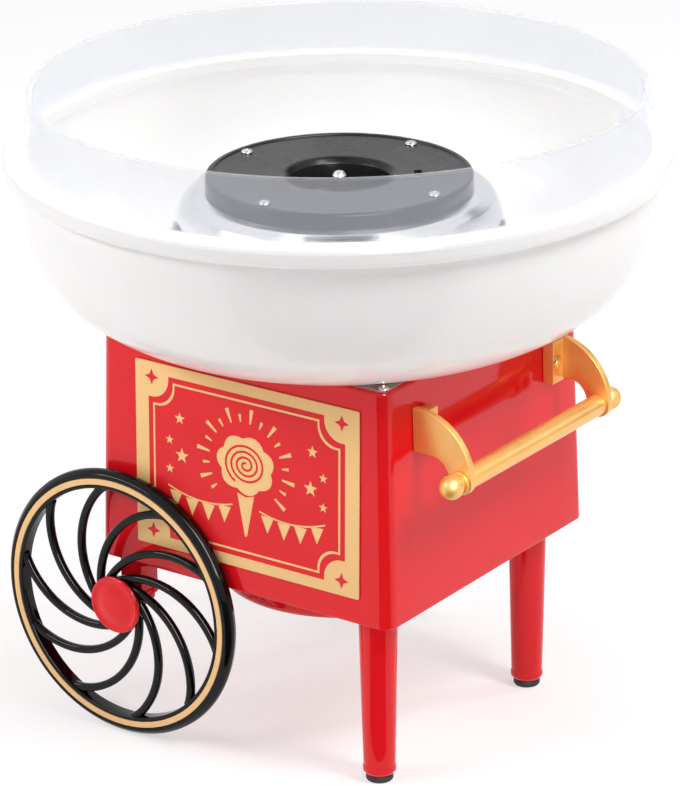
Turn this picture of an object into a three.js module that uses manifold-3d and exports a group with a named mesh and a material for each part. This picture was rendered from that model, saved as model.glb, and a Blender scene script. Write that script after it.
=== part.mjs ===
// Tabletop cotton candy machine built like a small cart: a drafted square housing on two legs and two
// spoked wheels, a wide white bowl with a clear splash guard, and a spinning sugar head over a ring heater.
// Units are millimetres, +Z is up, and z = 0 is the table. The origin lies on the bowl's axis.
// The handle is on the +X side, the wheels are at the -X end and the label panel faces -Y.
import * as THREE from "three";
import { mergeVertices } from "three/addons/utils/BufferGeometryUtils.js";
import Module from "manifold-3d";

const wasm = await Module();
wasm.setup();

// Clearances
const seatGap = 0.3;
const sideGap = 0.4;
const runningGap = 0.12;
const boreMargin = 1;

// Facets round each kind of piece
const bowlFacets = 42;
const headFacets = 32;
const wheelFacets = 36;
const motorFacets = 24;
const legFacets = 16;
const shaftFacets = 12;
const screwFacets = 8;

// Housing
const housingHalfX = 73.7;
const housingHalfY = 73;
const housingBottom = 79;
const housingHeight = 104;
const housingDraft = 1.5;
const housingCornerR = 5.8;
const housingWall = 2.6;
const housingRim = 2.2;
const ledgeThickness = 3;
const ledgeOpeningR = 63;
const housingTop = housingBottom + housingHeight;

// Top plate and its corner screws
const plateThickness = 1.2;
const plateHoleR = 60;
const plateScrewInsetX = 4.6;
const plateScrewInsetY = 5.6;
const screwShankR = 1.4;
const screwHeadR = 2.6;
const screwHeadHeight = 1.2;
const screwLength = 6;

// Bottom cover with the round motor cup
const coverThickness = 2.4;
const cupR = 56;
const cupWall = 2.2;
const cupDepth = 17;
const cupEdgeR = 5;
const ventCount = 8;
const ventWidth = 3;
const ventInnerR = 16;
const ventOuterR = 40;

// Legs and rubber feet
const legInsetX = 15.6;
const legInsetY = 15.4;
const legTopR = 8.45;
const legBottomR = 6.9;
const legCollarR = 7.2;
const legCollarHeight = 2.6;
const legNeckR = 6;
const footR = 5.9;
const footHeight = 3.2;
const legNeckDrop = 1.6;

// Wheels, their pins and the lugs that hold them
const wheelR = 61;
const axleInset = 11.7;
const wheelThickness = 6.6;
const wheelGap = 1.1;
const rimWidth = 8.4;
const rimFrontInset = 2.7;
const rimRoundDepth = 3;
const rimBackInset = 1.2;
const inlayInset = 3.9;
const inlayWidth = 2.6;
const inlayThickness = 0.7;
const inlayProud = 0.1;
const spokeCount = 10;
const spokeTurn = 26.4;
const spokeWidth = 3.6;
const spokeDepth = 3.8;
const spokeSteps = 5;
const spokeArcR = 39.2;
const spokeArcX = 20.2;
const spokeArcY = -22.2;
const spokeSink = 0.8;
const spokeSide = 1.9;
const hubR = 11.5;
const hubThickness = 4.4;
const hubCapR = 12.9;
const hubCapHeight = 2.4;
const hubCapDome = 1.2;
const axleR = 3;
const bearingX = 5.6;
const bearingInset = 0.5;
const bearingThickness = 11.5;
const bearingLap = 0.8;
const bossR = 6.2;
const bossInset = 3;
const bossGap = 1.2;
const pinInset = 2;
const gussetLength = 9.8;
const gussetHeight = 2.9;
const gussetTip = 0.4;

// Handle
const handleBarReach = 24;
const handleBarZ = 144;
const handleBarR = 4.7;
const handleLobeR = 5.6;
const handleArcReach = 1.8;
const handleInnerR = 8.8;
const armThickness = 3.2;
const armInset = 18.4;
const flangeReach = 7.4;
const flangeThickness = 5.2;
const flangeHeight = 19;
const flangeScrewInset = 3.4;
const counterboreR = 3.3;
const counterboreDepth = 2.4;
const collarR = 4.9;
const collarLength = 1.6;
const ballR = 5.2;
const spigotR = 2.2;
const spigotReach = 7;
const handleScrewLength = 9;

// Label panel on the -Y face
const labelInsetLeft = 19.2;
const labelInsetRight = 12.2;
const labelBottom = 90.5;
const labelHeight = 83;
const labelThickness = 0.6;

// Bowl: heights are counted from its underside
const bowlWall = 2.4;
const bowlWallR = 135.9;
const bowlFootWidth = 15;
const bowlCurveMargin = 0.93;
const bowlCurveRise = 1.8;
const bowlBellyInset = 11.2;
const bowlBellyRise = 13.9;
const bowlShoulderInset = 1.4;
const bowlShoulderRise = 28.7;
const bowlRimRise = 67.7;
const lipOverhang = 6.6;
const lipCrestRise = 76.6;
const bowlHoleClearance = 1.6;
const collarRise = 36;
const collarFilletR = 7;
const bowlCurvePoints = 8;

// Splash guard
const guardSeatRise = 76;
const guardSeatInset = 1.5;
const guardTaper = 4;
const guardWall = 2;
const guardHeight = 25.4;
const guardBead = 0.5;
const guardSpigotDepth = 5.6;
const guardStep = 2.3;

// Heater pan, element and thermostat
const heaterPanClearance = 3;
const heaterPanWall = 1.5;
const heaterFloorRise = 20;
const heaterFloorThickness = 1.2;
const heaterPanHeight = 37.5;
const heaterHoleR = 8;
const elementR = 46;
const elementTubeR = 3.2;
const elementGapDeg = 26;
const elementRise = 31;
const elementLegLength = 18;
const elementHoleMargin = 0.7;
const postCount = 3;
const postR = 4;
const thermostatR = 8;
const thermostatHeight = 6;
const thermostatX = 27;

// Motor, its bracket and its shaft
const motorR = 24;
const motorHeight = 42;
const motorBossR = 9;
const motorBossHeight = 3;
const shaftR = 3;
const shaftInMotor = 34;
const shaftDome = 2.2;
const bracketHalfWidth = 16;
const bracketDrop = 12;
const bracketSheet = 2;
const bracketEndGap = 2.1;
const bracketFlange = 11;
const drivePinR = 1.2;
const drivePinLength = 12;

// Sugar head
const headR = 69.4;
const headEdgeRise = 44.3;
const headCoverR = 57;
const headCoverHeight = 6.4;
const headCoverRimWidth = 2.6;
const headCoverRecess = 0.7;
const headSheet = 1;
const wellR = 22;
const wellDepth = 13.5;
const wellRound = 2.4;
const headFloorDrop = 2.6;
const headFloorSheet = 1.2;
const headShoulderRise = 11.4;
const slotCount = 20;
const slotWidth = 1.6;
const slotDepth = 7;
const headHubR = 7;
const headHubHeight = 10;
const coverScrewCircleR = 50.4;
const coverScrewTurn = -2.6;
const spacerR = 3.4;

// Rocker switch and cord bush on the -X side
const switchZ = 150;
const switchWidth = 13;
const switchHeight = 19;
const switchDepth = 12;
const bezelWidth = 1.5;
const bezelThickness = 1.8;
const switchWall = 1.2;
const rockerTilt = 7;
const rockerProud = 1.6;
const bushInset = 27;
const bushZ = 96;
const bushR = 4.4;
const bushFlangeR = 6.4;
const bushFlange = 2.2;
const bushBoreR = 2.6;
const bushLength = 9;

// Sizes and places that follow from the sizes above
const housingSpread = housingHeight * Math.tan((housingDraft * Math.PI) / 180);
const legX = housingHalfX - legInsetX;
const legY = housingHalfY - legInsetY;
const wheelX = axleInset - housingHalfX;
const wheelBack = housingHalfY + housingSpread + wheelGap;
const wheelFront = wheelBack + wheelThickness;
const axleZ = wheelR;
const rimInnerR = wheelR - rimWidth;
const rimFrontR = wheelR - rimFrontInset;
const rimBackR = wheelR - rimBackInset;
const inlayOuterR = wheelR - inlayInset;
const inlayInnerR = inlayOuterR - inlayWidth;
const bearingOuterY = housingHalfY - bearingInset;
const bearingInnerY = bearingOuterY - bearingThickness;
const bossInnerY = bearingInnerY + bossInset;
const bossOuterY = wheelBack - bossGap;
const pinInnerY = bossInnerY + pinInset;
const handleBarX = housingHalfX + handleBarReach;
const handleArcX = housingHalfX + handleArcReach;
const armOuterY = housingHalfY - armInset;
const labelLeft = labelInsetLeft - housingHalfX;
const labelWidth = housingHalfX - labelInsetRight - labelLeft;
const bushY = housingHalfY - bushInset;
const plateScrewX = housingHalfX - plateScrewInsetX;
const plateScrewY = housingHalfY - plateScrewInsetY;
const bowlZ = housingTop + seatGap;
const guardZ = bowlZ + guardSeatRise + seatGap;
const headEdgeZ = housingTop + headEdgeRise;
const headTopZ = headEdgeZ + headShoulderRise;
const coverBottomZ = headTopZ + seatGap;
const coverTopZ = coverBottomZ + headCoverHeight;
const headFloorZ = headEdgeZ - headFloorDrop;
const bowlHoleR = headR + bowlHoleClearance;
const bowlFootR = bowlHoleR + bowlFootWidth;
const bowlRimR = bowlWallR + lipOverhang;
const bowlCurveR = Math.hypot(plateScrewX, plateScrewY) - bowlCurveMargin;
const bowlBellyR = bowlWallR - bowlBellyInset;
const bowlShoulderR = bowlWallR - bowlShoulderInset;
const guardSeatR = bowlWallR - guardSeatInset;
const guardTopR = guardSeatR - guardTaper;
const guardSpigotR = guardSeatR - guardStep;
const heaterPanR = bowlHoleR - heaterPanClearance;
const ledgeZ = housingTop - plateThickness - seatGap - ledgeThickness;
const bracketZ = ledgeZ - seatGap;
const motorTop = bracketZ - bracketDrop - seatGap;
const bracketLegX = housingHalfX - housingWall - bracketEndGap - bracketFlange;
const radians = Math.PI / 180;

function solidOf(geometry) {
  const bare = geometry.index ? geometry.toNonIndexed() : geometry.clone();
  bare.deleteAttribute("normal");
  bare.deleteAttribute("uv");
  const merged = mergeVertices(bare, 1e-4);
  const triVerts = new Uint32Array(merged.index.array);
  const vertProperties = new Float32Array(merged.attributes.position.array);
  const solid = new wasm.Manifold(new wasm.Mesh({ numProp: 3, vertProperties, triVerts }));
  if (solid.volume() > 0) return solid;
  for (let i = 0; i < triVerts.length; i += 3) {
    [triVerts[i + 1], triVerts[i + 2]] = [triVerts[i + 2], triVerts[i + 1]];
  }
  return new wasm.Manifold(new wasm.Mesh({ numProp: 3, vertProperties, triVerts }));
}

function geometryOf(solid) {
  const mesh = solid.getMesh();
  const points = new Float32Array(mesh.numVert * 3);
  for (let i = 0; i < mesh.numVert; i++) {
    points.set(mesh.vertProperties.subarray(i * mesh.numProp, i * mesh.numProp + 3), i * 3);
  }
  const geometry = new THREE.BufferGeometry();
  geometry.setAttribute("position", new THREE.BufferAttribute(points, 3));
  geometry.setIndex(new THREE.BufferAttribute(new Uint32Array(mesh.triVerts), 1));
  geometry.computeVertexNormals();
  return geometry;
}

function joined(first, ...others) {
  return geometryOf(others.reduce((sum, next) => sum.add(solidOf(next)), solidOf(first)));
}

function less(first, ...others) {
  return geometryOf(others.reduce((rest, next) => rest.subtract(solidOf(next)), solidOf(first)));
}

function shared(first, second) {
  return geometryOf(solidOf(first).intersect(solidOf(second)));
}

// A profile of [radius, height] points turned about the Z axis
function revolved(points, facets) {
  const profile = points.map(([radius, height]) => new THREE.Vector2(radius, height));
  return new THREE.LatheGeometry(profile, facets).rotateX(Math.PI / 2);
}

// A ring-shaped profile, closed back to its first point
function revolvedRing(points, facets) {
  return revolved([...points, points[0]], facets);
}

function rod(radius, low, high, facets) {
  return revolved([[0, low], [radius, low], [radius, high], [0, high]], facets);
}

function slab(lowX, highX, lowY, highY, lowZ, highZ) {
  return new THREE.BoxGeometry(highX - lowX, highY - lowY, highZ - lowZ)
    .translate((lowX + highX) / 2, (lowY + highY) / 2, (lowZ + highZ) / 2);
}

function roundedRectangle(halfX, halfY, cornerR) {
  const shape = new THREE.Shape();
  shape.moveTo(halfX, cornerR - halfY);
  shape.lineTo(halfX, halfY - cornerR);
  shape.absarc(halfX - cornerR, halfY - cornerR, cornerR, 0, Math.PI / 2);
  shape.lineTo(cornerR - halfX, halfY);
  shape.absarc(cornerR - halfX, halfY - cornerR, cornerR, Math.PI / 2, Math.PI);
  shape.lineTo(-halfX, cornerR - halfY);
  shape.absarc(cornerR - halfX, cornerR - halfY, cornerR, Math.PI, 1.5 * Math.PI);
  shape.lineTo(halfX - cornerR, -halfY);
  shape.absarc(halfX - cornerR, cornerR - halfY, cornerR, 1.5 * Math.PI, 2 * Math.PI);
  return shape;
}

function extruded(shape, low, high, curveSegments = 5) {
  const depth = high - low;
  return new THREE.ExtrudeGeometry(shape, { depth, bevelEnabled: false, curveSegments }).translate(0, 0, low);
}

// How far the housing's sides have moved out at height z, from its draft
function draftAt(z) {
  return (housingTop - z) * Math.tan(housingDraft * radians);
}

// A block inside or around the housing, grown by a margin, whose sides follow the housing's draft
function draftedBlock(grow, low, high) {
  const halfX = housingHalfX + grow;
  const halfY = housingHalfY + grow;
  const cornerR = Math.max(housingCornerR + grow, 1);
  const geometry = extruded(roundedRectangle(halfX, halfY, cornerR), low, high, 4);
  const position = geometry.attributes.position;
  for (let i = 0; i < position.count; i++) {
    const spread = draftAt(position.getZ(i));
    const x = (position.getX(i) * (halfX + spread)) / halfX;
    const y = (position.getY(i) * (halfY + spread)) / halfY;
    position.setXY(i, x, y);
  }
  return geometry;
}

// A pan-head screw along Z whose head's underside is at z = 0
function screw(length) {
  const shoulder = screwHeadHeight * 0.55;
  return revolved(
    [
      [0, -length],
      [screwShankR, -length],
      [screwShankR, 0],
      [screwHeadR, 0],
      [screwHeadR, shoulder],
      [screwHeadR * 0.62, screwHeadHeight],
      [0, screwHeadHeight],
    ],
    screwFacets,
  );
}

function screwHole(length) {
  return rod(screwShankR + seatGap, -length - boreMargin, boreMargin, screwFacets);
}

const finishes = {
  redPlastic: { color: 0xd8232a, roughness: 0.22, metalness: 0 },
  whitePlastic: { color: 0xf4f3f1, roughness: 0.25, metalness: 0 },
  clearPlastic: { color: 0xeef1f4, roughness: 0.12, metalness: 0, transparent: true, opacity: 0.45 },
  blackPlastic: { color: 0x1f1c1e, roughness: 0.28, metalness: 0 },
  goldPaint: { color: 0xe2aa52, roughness: 0.38, metalness: 0.55 },
  goldInlay: { color: 0xf2c182, roughness: 0.5, metalness: 0.1 },
  creamPrint: { color: 0xf6cf8c, roughness: 0.5, metalness: 0 },
  aluminium: { color: 0xc9ccd0, roughness: 0.22, metalness: 1 },
  steel: { color: 0xb4b5b8, roughness: 0.3, metalness: 1 },
  brass: { color: 0xc9a14a, roughness: 0.35, metalness: 1 },
  ceramic: { color: 0xe9e4da, roughness: 0.7, metalness: 0 },
  rubber: { color: 0x1a1a1b, roughness: 0.8, metalness: 0 },
};

function piece(name, geometry, finish) {
  const mesh = new THREE.Mesh(geometry, new THREE.MeshStandardMaterial(finishes[finish]));
  mesh.name = name;
  return mesh;
}

const machine = new THREE.Group();

// Housing with its top ledge, and the plate that closes it
function switchOpening() {
  const half = housingHalfX + draftAt(switchZ);
  const inner = -half + housingWall + boreMargin;
  return slab(
    -half - boreMargin, inner,
    -switchWidth / 2 - sideGap, switchWidth / 2 + sideGap,
    switchZ - switchHeight / 2 - sideGap, switchZ + switchHeight / 2 + sideGap,
  );
}

function bushOpening() {
  const hole = rod(bushR + seatGap, -housingWall - 2 * boreMargin, housingWall + 2 * boreMargin, legFacets);
  return hole.rotateY(-Math.PI / 2).translate(-housingHalfX - draftAt(bushZ), bushY, bushZ);
}

const cornerSigns = [[1, 1], [-1, 1], [-1, -1], [1, -1]];

const flangeLow = handleBarZ + handleInnerR - 1.2;
const handleScrewZ = flangeLow + flangeHeight / 2;
const handleScrewY = armOuterY - armThickness - flangeReach + flangeScrewInset;
const flangeFaceX = housingHalfX + draftAt(handleScrewZ) + seatGap + flangeThickness;
const screwSeatX = flangeFaceX - counterboreDepth;

function handleScrewHole(sign) {
  return screwHole(handleScrewLength)
    .rotateY(Math.PI / 2)
    .translate(screwSeatX, sign * handleScrewY, handleScrewZ);
}

function handleCounterbore(sign) {
  return rod(counterboreR, 0, counterboreDepth + boreMargin, shaftFacets)
    .rotateY(Math.PI / 2)
    .translate(screwSeatX, sign * handleScrewY, handleScrewZ);
}

function addHousing() {
  const outer = draftedBlock(0, housingBottom, housingTop);
  const cavity = draftedBlock(-housingWall, housingBottom - boreMargin, ledgeZ);
  const recess = draftedBlock(-housingRim, housingTop - plateThickness - seatGap, housingTop + boreMargin);
  const opening = rod(ledgeOpeningR, ledgeZ - boreMargin, housingTop, headFacets);
  const holes = cornerSigns.map(([sx, sy]) =>
    screwHole(screwLength).translate(sx * plateScrewX, sy * plateScrewY, housingTop));
  const sideHoles = [handleScrewHole(1), handleScrewHole(-1), switchOpening(), bushOpening()];
  const shell = less(outer, cavity, recess, opening, ...holes, ...sideHoles);
  machine.add(piece("housing_shell", shell, "redPlastic"));

  const sheet = draftedBlock(-housingRim - seatGap, housingTop - plateThickness, housingTop);
  const hole = rod(plateHoleR, housingTop - plateThickness - boreMargin, housingTop + boreMargin, headFacets);
  machine.add(piece("top_plate", less(sheet, hole, ...holes), "steel"));

  cornerSigns.forEach(([sx, sy], i) => {
    const mesh = piece(`plate_screw_${i + 1}`, screw(screwLength), "steel");
    mesh.position.set(sx * plateScrewX, sy * plateScrewY, housingTop + seatGap / 2);
    machine.add(mesh);
  });
}

// Bottom cover: a plate inside the housing's walls with a round cup for the motor, slotted for air
function addBottomCover() {
  const low = housingBottom + seatGap;
  const plate = draftedBlock(-housingWall - sideGap, low, low + coverThickness);
  const cupLow = housingBottom - cupDepth;
  const inner = cupR - cupWall;
  const cup = revolved(
    [
      [0, cupLow],
      [cupR - cupEdgeR, cupLow],
      [cupR - cupEdgeR * 0.3, cupLow + cupEdgeR * 0.3],
      [cupR, cupLow + cupEdgeR],
      [cupR, low + coverThickness],
      [inner, low + coverThickness],
      [inner, cupLow + cupEdgeR],
      [inner - cupEdgeR * 0.6, cupLow + cupWall],
      [0, cupLow + cupWall],
    ],
    headFacets,
  );
  const hole = rod(inner, low - boreMargin, low + coverThickness + boreMargin, headFacets);
  const vents = Array.from({ length: ventCount }, (_, i) =>
    slab(ventInnerR, ventOuterR, -ventWidth / 2, ventWidth / 2, cupLow - boreMargin, cupLow + cupWall + boreMargin)
      .rotateZ((i * 2 * Math.PI) / ventCount));
  const cover = less(joined(less(plate, hole), cup), ...vents);
  machine.add(piece("bottom_cover", cover, "redPlastic"));
}

function addLegs() {
  const top = housingBottom;
  const collarTop = footHeight + legNeckDrop + legCollarHeight;
  const leg = revolved(
    [
      [0, footHeight],
      [legNeckR, footHeight],
      [legCollarR, footHeight + legNeckDrop],
      [legCollarR, collarTop - 1],
      [legBottomR, collarTop],
      [legTopR, top],
      [0, top],
    ],
    legFacets,
  );
  const foot = revolved(
    [
      [0, 0],
      [footR - 0.6, 0],
      [footR, 0.8],
      [footR, footHeight - seatGap],
      [0, footHeight - seatGap],
    ],
    legFacets,
  );
  [["front", -1], ["back", 1]].forEach(([side, sign]) => {
    const group = new THREE.Group();
    group.position.set(legX, sign * legY, 0);
    group.add(piece(`leg_${side}`, leg, "redPlastic"), piece(`foot_${side}`, foot, "rubber"));
    machine.add(group);
  });
}

// One wheel about its own Z axis, with +Z pointing away from the housing and z = 0 at its back face
function wheelGeometry() {
  const front = wheelThickness;
  const grooveFloor = front + inlayProud - inlayThickness - seatGap;
  const rim = revolvedRing(
    [
      [rimInnerR, 0],
      [rimBackR, 0],
      [wheelR, front - rimRoundDepth],
      [wheelR - 0.7, front - rimRoundDepth * 0.4],
      [rimFrontR, front],
      [inlayOuterR + seatGap, front],
      [inlayOuterR + seatGap, grooveFloor],
      [inlayInnerR - seatGap, grooveFloor],
      [inlayInnerR - seatGap, front],
      [rimInnerR, front],
    ],
    wheelFacets,
  );
  const hubLow = front - spokeSink - hubThickness;
  const hub = rod(hubR, hubLow, hubLow + hubThickness, legFacets);
  const spokeZ = front - spokeSink - spokeDepth / 2;
  const spokes = Array.from({ length: spokeCount }, (_, i) =>
    spokeGeometry().translate(0, 0, spokeZ).rotateZ(spokeTurn * radians + (i * 2 * Math.PI) / spokeCount));
  const bore = rod(axleR + runningGap, -boreMargin, front + boreMargin, shaftFacets);
  return less(joined(rim, hub, ...spokes), bore);
}

// A spoke is one arc of a circle from the hub to the inside of the rim
function spokeGeometry() {
  const reach = rimInnerR + 1;
  const outer = Math.acos((reach ** 2 - spokeArcX ** 2 - spokeArcY ** 2 - spokeArcR ** 2)
    / (2 * spokeArcR * Math.hypot(spokeArcX, spokeArcY)));
  const toCentre = Math.atan2(spokeArcY, spokeArcX);
  const startAngle = toCentre + outer;
  const endAngle = Math.PI - Math.acos(spokeArcX / spokeArcR);
  const path = new THREE.Curve();
  path.getPoint = (t, target = new THREE.Vector3()) => {
    const angle = startAngle + (endAngle - startAngle) * t;
    return target.set(
      spokeArcX + spokeArcR * Math.cos(angle),
      spokeArcY + spokeArcR * Math.sin(angle),
      0,
    );
  };
  const section = new THREE.Shape();
  const w = spokeWidth / 2;
  const d = spokeDepth / 2;
  const c = spokeSide / 2;
  section.moveTo(-c, -w);
  section.lineTo(c, -w);
  section.lineTo(d, 0);
  section.lineTo(c, w);
  section.lineTo(-c, w);
  section.lineTo(-d, 0);
  section.closePath();
  return new THREE.ExtrudeGeometry(section, { steps: spokeSteps, extrudePath: path, bevelEnabled: false });
}

function addWheels() {
  const wheel = wheelGeometry();
  const inlay = revolvedRing(
    [
      [inlayInnerR, wheelThickness + inlayProud - inlayThickness],
      [inlayOuterR, wheelThickness + inlayProud - inlayThickness],
      [inlayOuterR, wheelThickness + inlayProud],
      [inlayInnerR, wheelThickness + inlayProud],
    ],
    wheelFacets,
  );
  const capLow = wheelThickness - spokeSink + seatGap;
  const capEdge = capLow + hubCapHeight;
  const cap = revolved(
    [
      [0, capLow],
      [hubCapR - 0.6, capLow],
      [hubCapR, capLow + 0.6],
      [hubCapR, capEdge - 0.8],
      [hubCapR - 1.4, capEdge],
      [hubCapR - 2.6, capEdge - 0.2],
      [hubCapR * 0.5, capEdge + hubCapDome * 0.75],
      [0, capEdge + hubCapDome],
    ],
    legFacets,
  );
  [["front", -1], ["back", 1]].forEach(([side, sign]) => {
    const group = new THREE.Group();
    group.position.set(wheelX, sign * wheelBack, axleZ);
    group.rotation.set(Math.PI / 2, 0, sign > 0 ? Math.PI : 0, "ZXY");
    group.add(piece(`wheel_${side}`, wheel, "blackPlastic"));
    group.add(piece(`wheel_inlay_${side}`, inlay, "goldInlay"));
    group.add(piece(`hub_cap_${side}`, cap, "redPlastic"));
    machine.add(group);
  });
}

// Axle: each wheel turns on its own short steel pin, pressed into the boss of its lug
function addAxle() {
  const pinOuterY = wheelFront - spokeSink - seatGap;
  const pin = rod(axleR, pinInnerY, pinOuterY, shaftFacets);
  [["front", "axle", -1], ["back", "axle_back", 1]].forEach(([side, name, sign]) => {
    const shaft = piece(name, pin, "steel");
    shaft.position.set(wheelX, 0, axleZ);
    shaft.rotation.x = (-sign * Math.PI) / 2;
    machine.add(shaft);
    const mount = piece(`axle_bearing_${side}`, bearingGeometry(sign), "redPlastic");
    mount.position.set(wheelX, 0, axleZ);
    machine.add(mount);
  });
}

// A lug under the housing, with a gusset on its inner side and a round boss bored for the wheel's pin
function bearingGeometry(sign) {
  const along = (low, high) => (sign < 0 ? [low, high] : [-high, -low]);
  const top = housingBottom - axleZ;
  const lug = new THREE.Shape();
  lug.moveTo(-bearingX, top);
  lug.lineTo(-bearingX, -bearingLap);
  lug.lineTo(bearingX, -bearingLap);
  lug.lineTo(bearingX, top - gussetHeight);
  lug.lineTo(bearingX + gussetLength, top - gussetTip);
  lug.lineTo(bearingX + gussetLength, top);
  lug.closePath();
  const block = extruded(lug, ...along(bearingInnerY, bearingOuterY));
  const boss = rod(bossR, ...along(bossInnerY, bossOuterY), legFacets);
  const bore = rod(axleR + runningGap, ...along(pinInnerY - seatGap, bossOuterY + boreMargin), shaftFacets);
  return less(joined(block, boss), bore).rotateX(Math.PI / 2);
}

// Handle: two L-shaped brackets with quarter-round arms, a bar between them and a ball at each end
function armShape() {
  const outerR = handleBarX + handleLobeR - handleArcX;
  const innerX = handleBarX - handleLobeR - handleInnerR;
  const shape = new THREE.Shape();
  shape.moveTo(housingHalfX - boreMargin, handleBarZ + outerR);
  shape.lineTo(handleArcX, handleBarZ + outerR);
  shape.absarc(handleArcX, handleBarZ, outerR, Math.PI / 2, 0, true);
  shape.absarc(handleBarX, handleBarZ, handleLobeR, 0, -Math.PI, true);
  shape.absarc(innerX, handleBarZ, handleInnerR, 0, Math.PI / 2, false);
  shape.lineTo(housingHalfX - boreMargin, handleBarZ + handleInnerR);
  shape.closePath();
  return shape;
}

function addHandle() {
  const inner = armOuterY - armThickness;
  const spread = draftedBlock(seatGap, housingBottom, housingTop + boreMargin);
  const seat = draftedBlock(seatGap + flangeThickness, housingBottom, housingTop + boreMargin);
  [["front", -1], ["back", 1]].forEach(([side, sign]) => {
    const near = sign * inner;
    const far = sign * armOuterY;
    // the arm's shape lies in X and Z, so the extrusion is turned on edge
    const arm = extruded(armShape(), -armThickness, 0, 8)
      .rotateX(Math.PI / 2)
      .translate(0, sign > 0 ? inner : -armOuterY, 0);
    const flangeEdge = sign * (inner - flangeReach);
    const strip = slab(
      housingHalfX - 2 * boreMargin, housingHalfX + flangeThickness + 4 * boreMargin,
      Math.min(flangeEdge, near + sign), Math.max(flangeEdge, near + sign),
      flangeLow, flangeLow + flangeHeight,
    );
    const flange = shared(strip, seat);
    const barHole = rod(spigotR + runningGap, armThickness * -2, armThickness * 2, shaftFacets)
      .rotateX(Math.PI / 2)
      .translate(handleBarX, (near + far) / 2, handleBarZ);
    const holes = [barHole, handleScrewHole(sign), handleCounterbore(sign)];
    const bracket = less(joined(arm, flange), spread, ...holes);
    machine.add(piece(`handle_bracket_${side}`, bracket, "goldPaint"));

    const ball = piece(`handle_ball_${side}`, ballGeometry(), "goldPaint");
    ball.position.set(handleBarX, far, handleBarZ);
    ball.rotation.x = sign > 0 ? -Math.PI / 2 : Math.PI / 2;
    machine.add(ball);

    const fastener = piece(`handle_screw_${side}`, screw(handleScrewLength).rotateY(Math.PI / 2), "steel");
    fastener.position.set(screwSeatX + seatGap / 2, sign * handleScrewY, handleScrewZ);
    machine.add(fastener);
  });
  const barHalf = inner - seatGap;
  const bore = spigotR + runningGap;
  const bar = less(
    rod(handleBarR, -barHalf, barHalf, legFacets),
    rod(bore, barHalf - spigotReach, barHalf + boreMargin, shaftFacets),
    rod(bore, -barHalf - boreMargin, spigotReach - barHalf, shaftFacets),
  ).rotateX(Math.PI / 2);
  const mesh = piece("handle_bar", bar, "goldPaint");
  mesh.position.set(handleBarX, 0, handleBarZ);
  machine.add(mesh);
}

// The ball's collar stands on the arm at z = 0, and its spigot runs down through the arm into the bar
function ballGeometry() {
  const low = seatGap;
  const top = low + collarLength;
  const centre = top + Math.sqrt(ballR ** 2 - (collarR * 0.6) ** 2);
  const points = [
    [0, -armThickness - spigotReach + 1],
    [spigotR, -armThickness - spigotReach + 1],
    [spigotR, low],
    [collarR, low],
    [collarR, top - 0.3],
    [collarR * 0.6, top],
  ];
  const first = Math.atan2(top - centre, collarR * 0.6);
  const steps = 7;
  for (let i = 1; i < steps; i++) {
    const angle = first + ((Math.PI / 2 - first) * i) / steps;
    points.push([ballR * Math.cos(angle), centre + ballR * Math.sin(angle)]);
  }
  points.push([0, centre + ballR]);
  return revolved(points, shaftFacets);
}

function addLabel() {
  const outer = draftedBlock(seatGap + labelThickness, housingBottom, housingTop);
  const inner = draftedBlock(seatGap, housingBottom - boreMargin, housingTop + boreMargin);
  const low = -housingHalfY - draftAt(housingBottom) - labelThickness - boreMargin;
  const window = slab(
    labelLeft, labelLeft + labelWidth,
    low, -housingHalfY + housingCornerR,
    labelBottom, labelBottom + labelHeight,
  );
  machine.add(piece("label_panel", less(shared(outer, window), inner), "creamPrint"));
}

// Bowl: one moulded wall from the central collar, over the floor and up to the rolled lip
function bowlProfile() {
  const z = bowlZ;
  const collarOuterR = bowlHoleR + bowlWall;
  const curve = new THREE.CubicBezierCurve(
    new THREE.Vector2(bowlCurveR, z + bowlCurveRise),
    new THREE.Vector2(bowlBellyR, z + bowlBellyRise),
    new THREE.Vector2(bowlShoulderR, z + bowlShoulderRise),
    new THREE.Vector2(bowlWallR, z + bowlRimRise),
  );
  const outer = curve.getPoints(bowlCurvePoints - 1);
  const inner = outer.map((point, i) => {
    const along = curve.getTangent(i / (bowlCurvePoints - 1));
    return new THREE.Vector2(point.x - along.y * bowlWall, point.y + along.x * bowlWall);
  });
  const lip = [
    [bowlRimR - 2.6, z + bowlRimRise - 0.2],
    [bowlRimR - 0.9, z + bowlRimRise + 1.5],
    [bowlRimR, z + lipCrestRise - 2.5],
    [bowlRimR - 0.9, z + lipCrestRise - 0.8],
    [bowlRimR - 3.2, z + lipCrestRise],
    [bowlRimR - 6.5, z + lipCrestRise - 0.1],
    [guardSeatR + 0.7, z + guardSeatRise + 0.3],
    [guardSeatR + 0.5, z + guardSeatRise],
    [guardSpigotR + sideGap, z + guardSeatRise],
    [guardSpigotR + sideGap, z + guardSeatRise - guardSpigotDepth + 1],
  ];
  const floor = z + bowlWall;
  return [
    [bowlHoleR, z],
    [bowlFootR, z],
    ...outer.map((point) => [point.x, point.y]),
    ...lip,
    ...inner.reverse().map((point) => [point.x, point.y]),
    [bowlFootR, floor],
    [collarOuterR + collarFilletR, floor],
    [collarOuterR + collarFilletR * 0.3, floor + collarFilletR * 0.35],
    [collarOuterR, floor + collarFilletR],
    [collarOuterR - 0.4, z + collarRise - 0.8],
    [bowlHoleR + bowlWall * 0.5, z + collarRise],
    [bowlHoleR, z + collarRise - 0.8],
  ];
}

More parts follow.
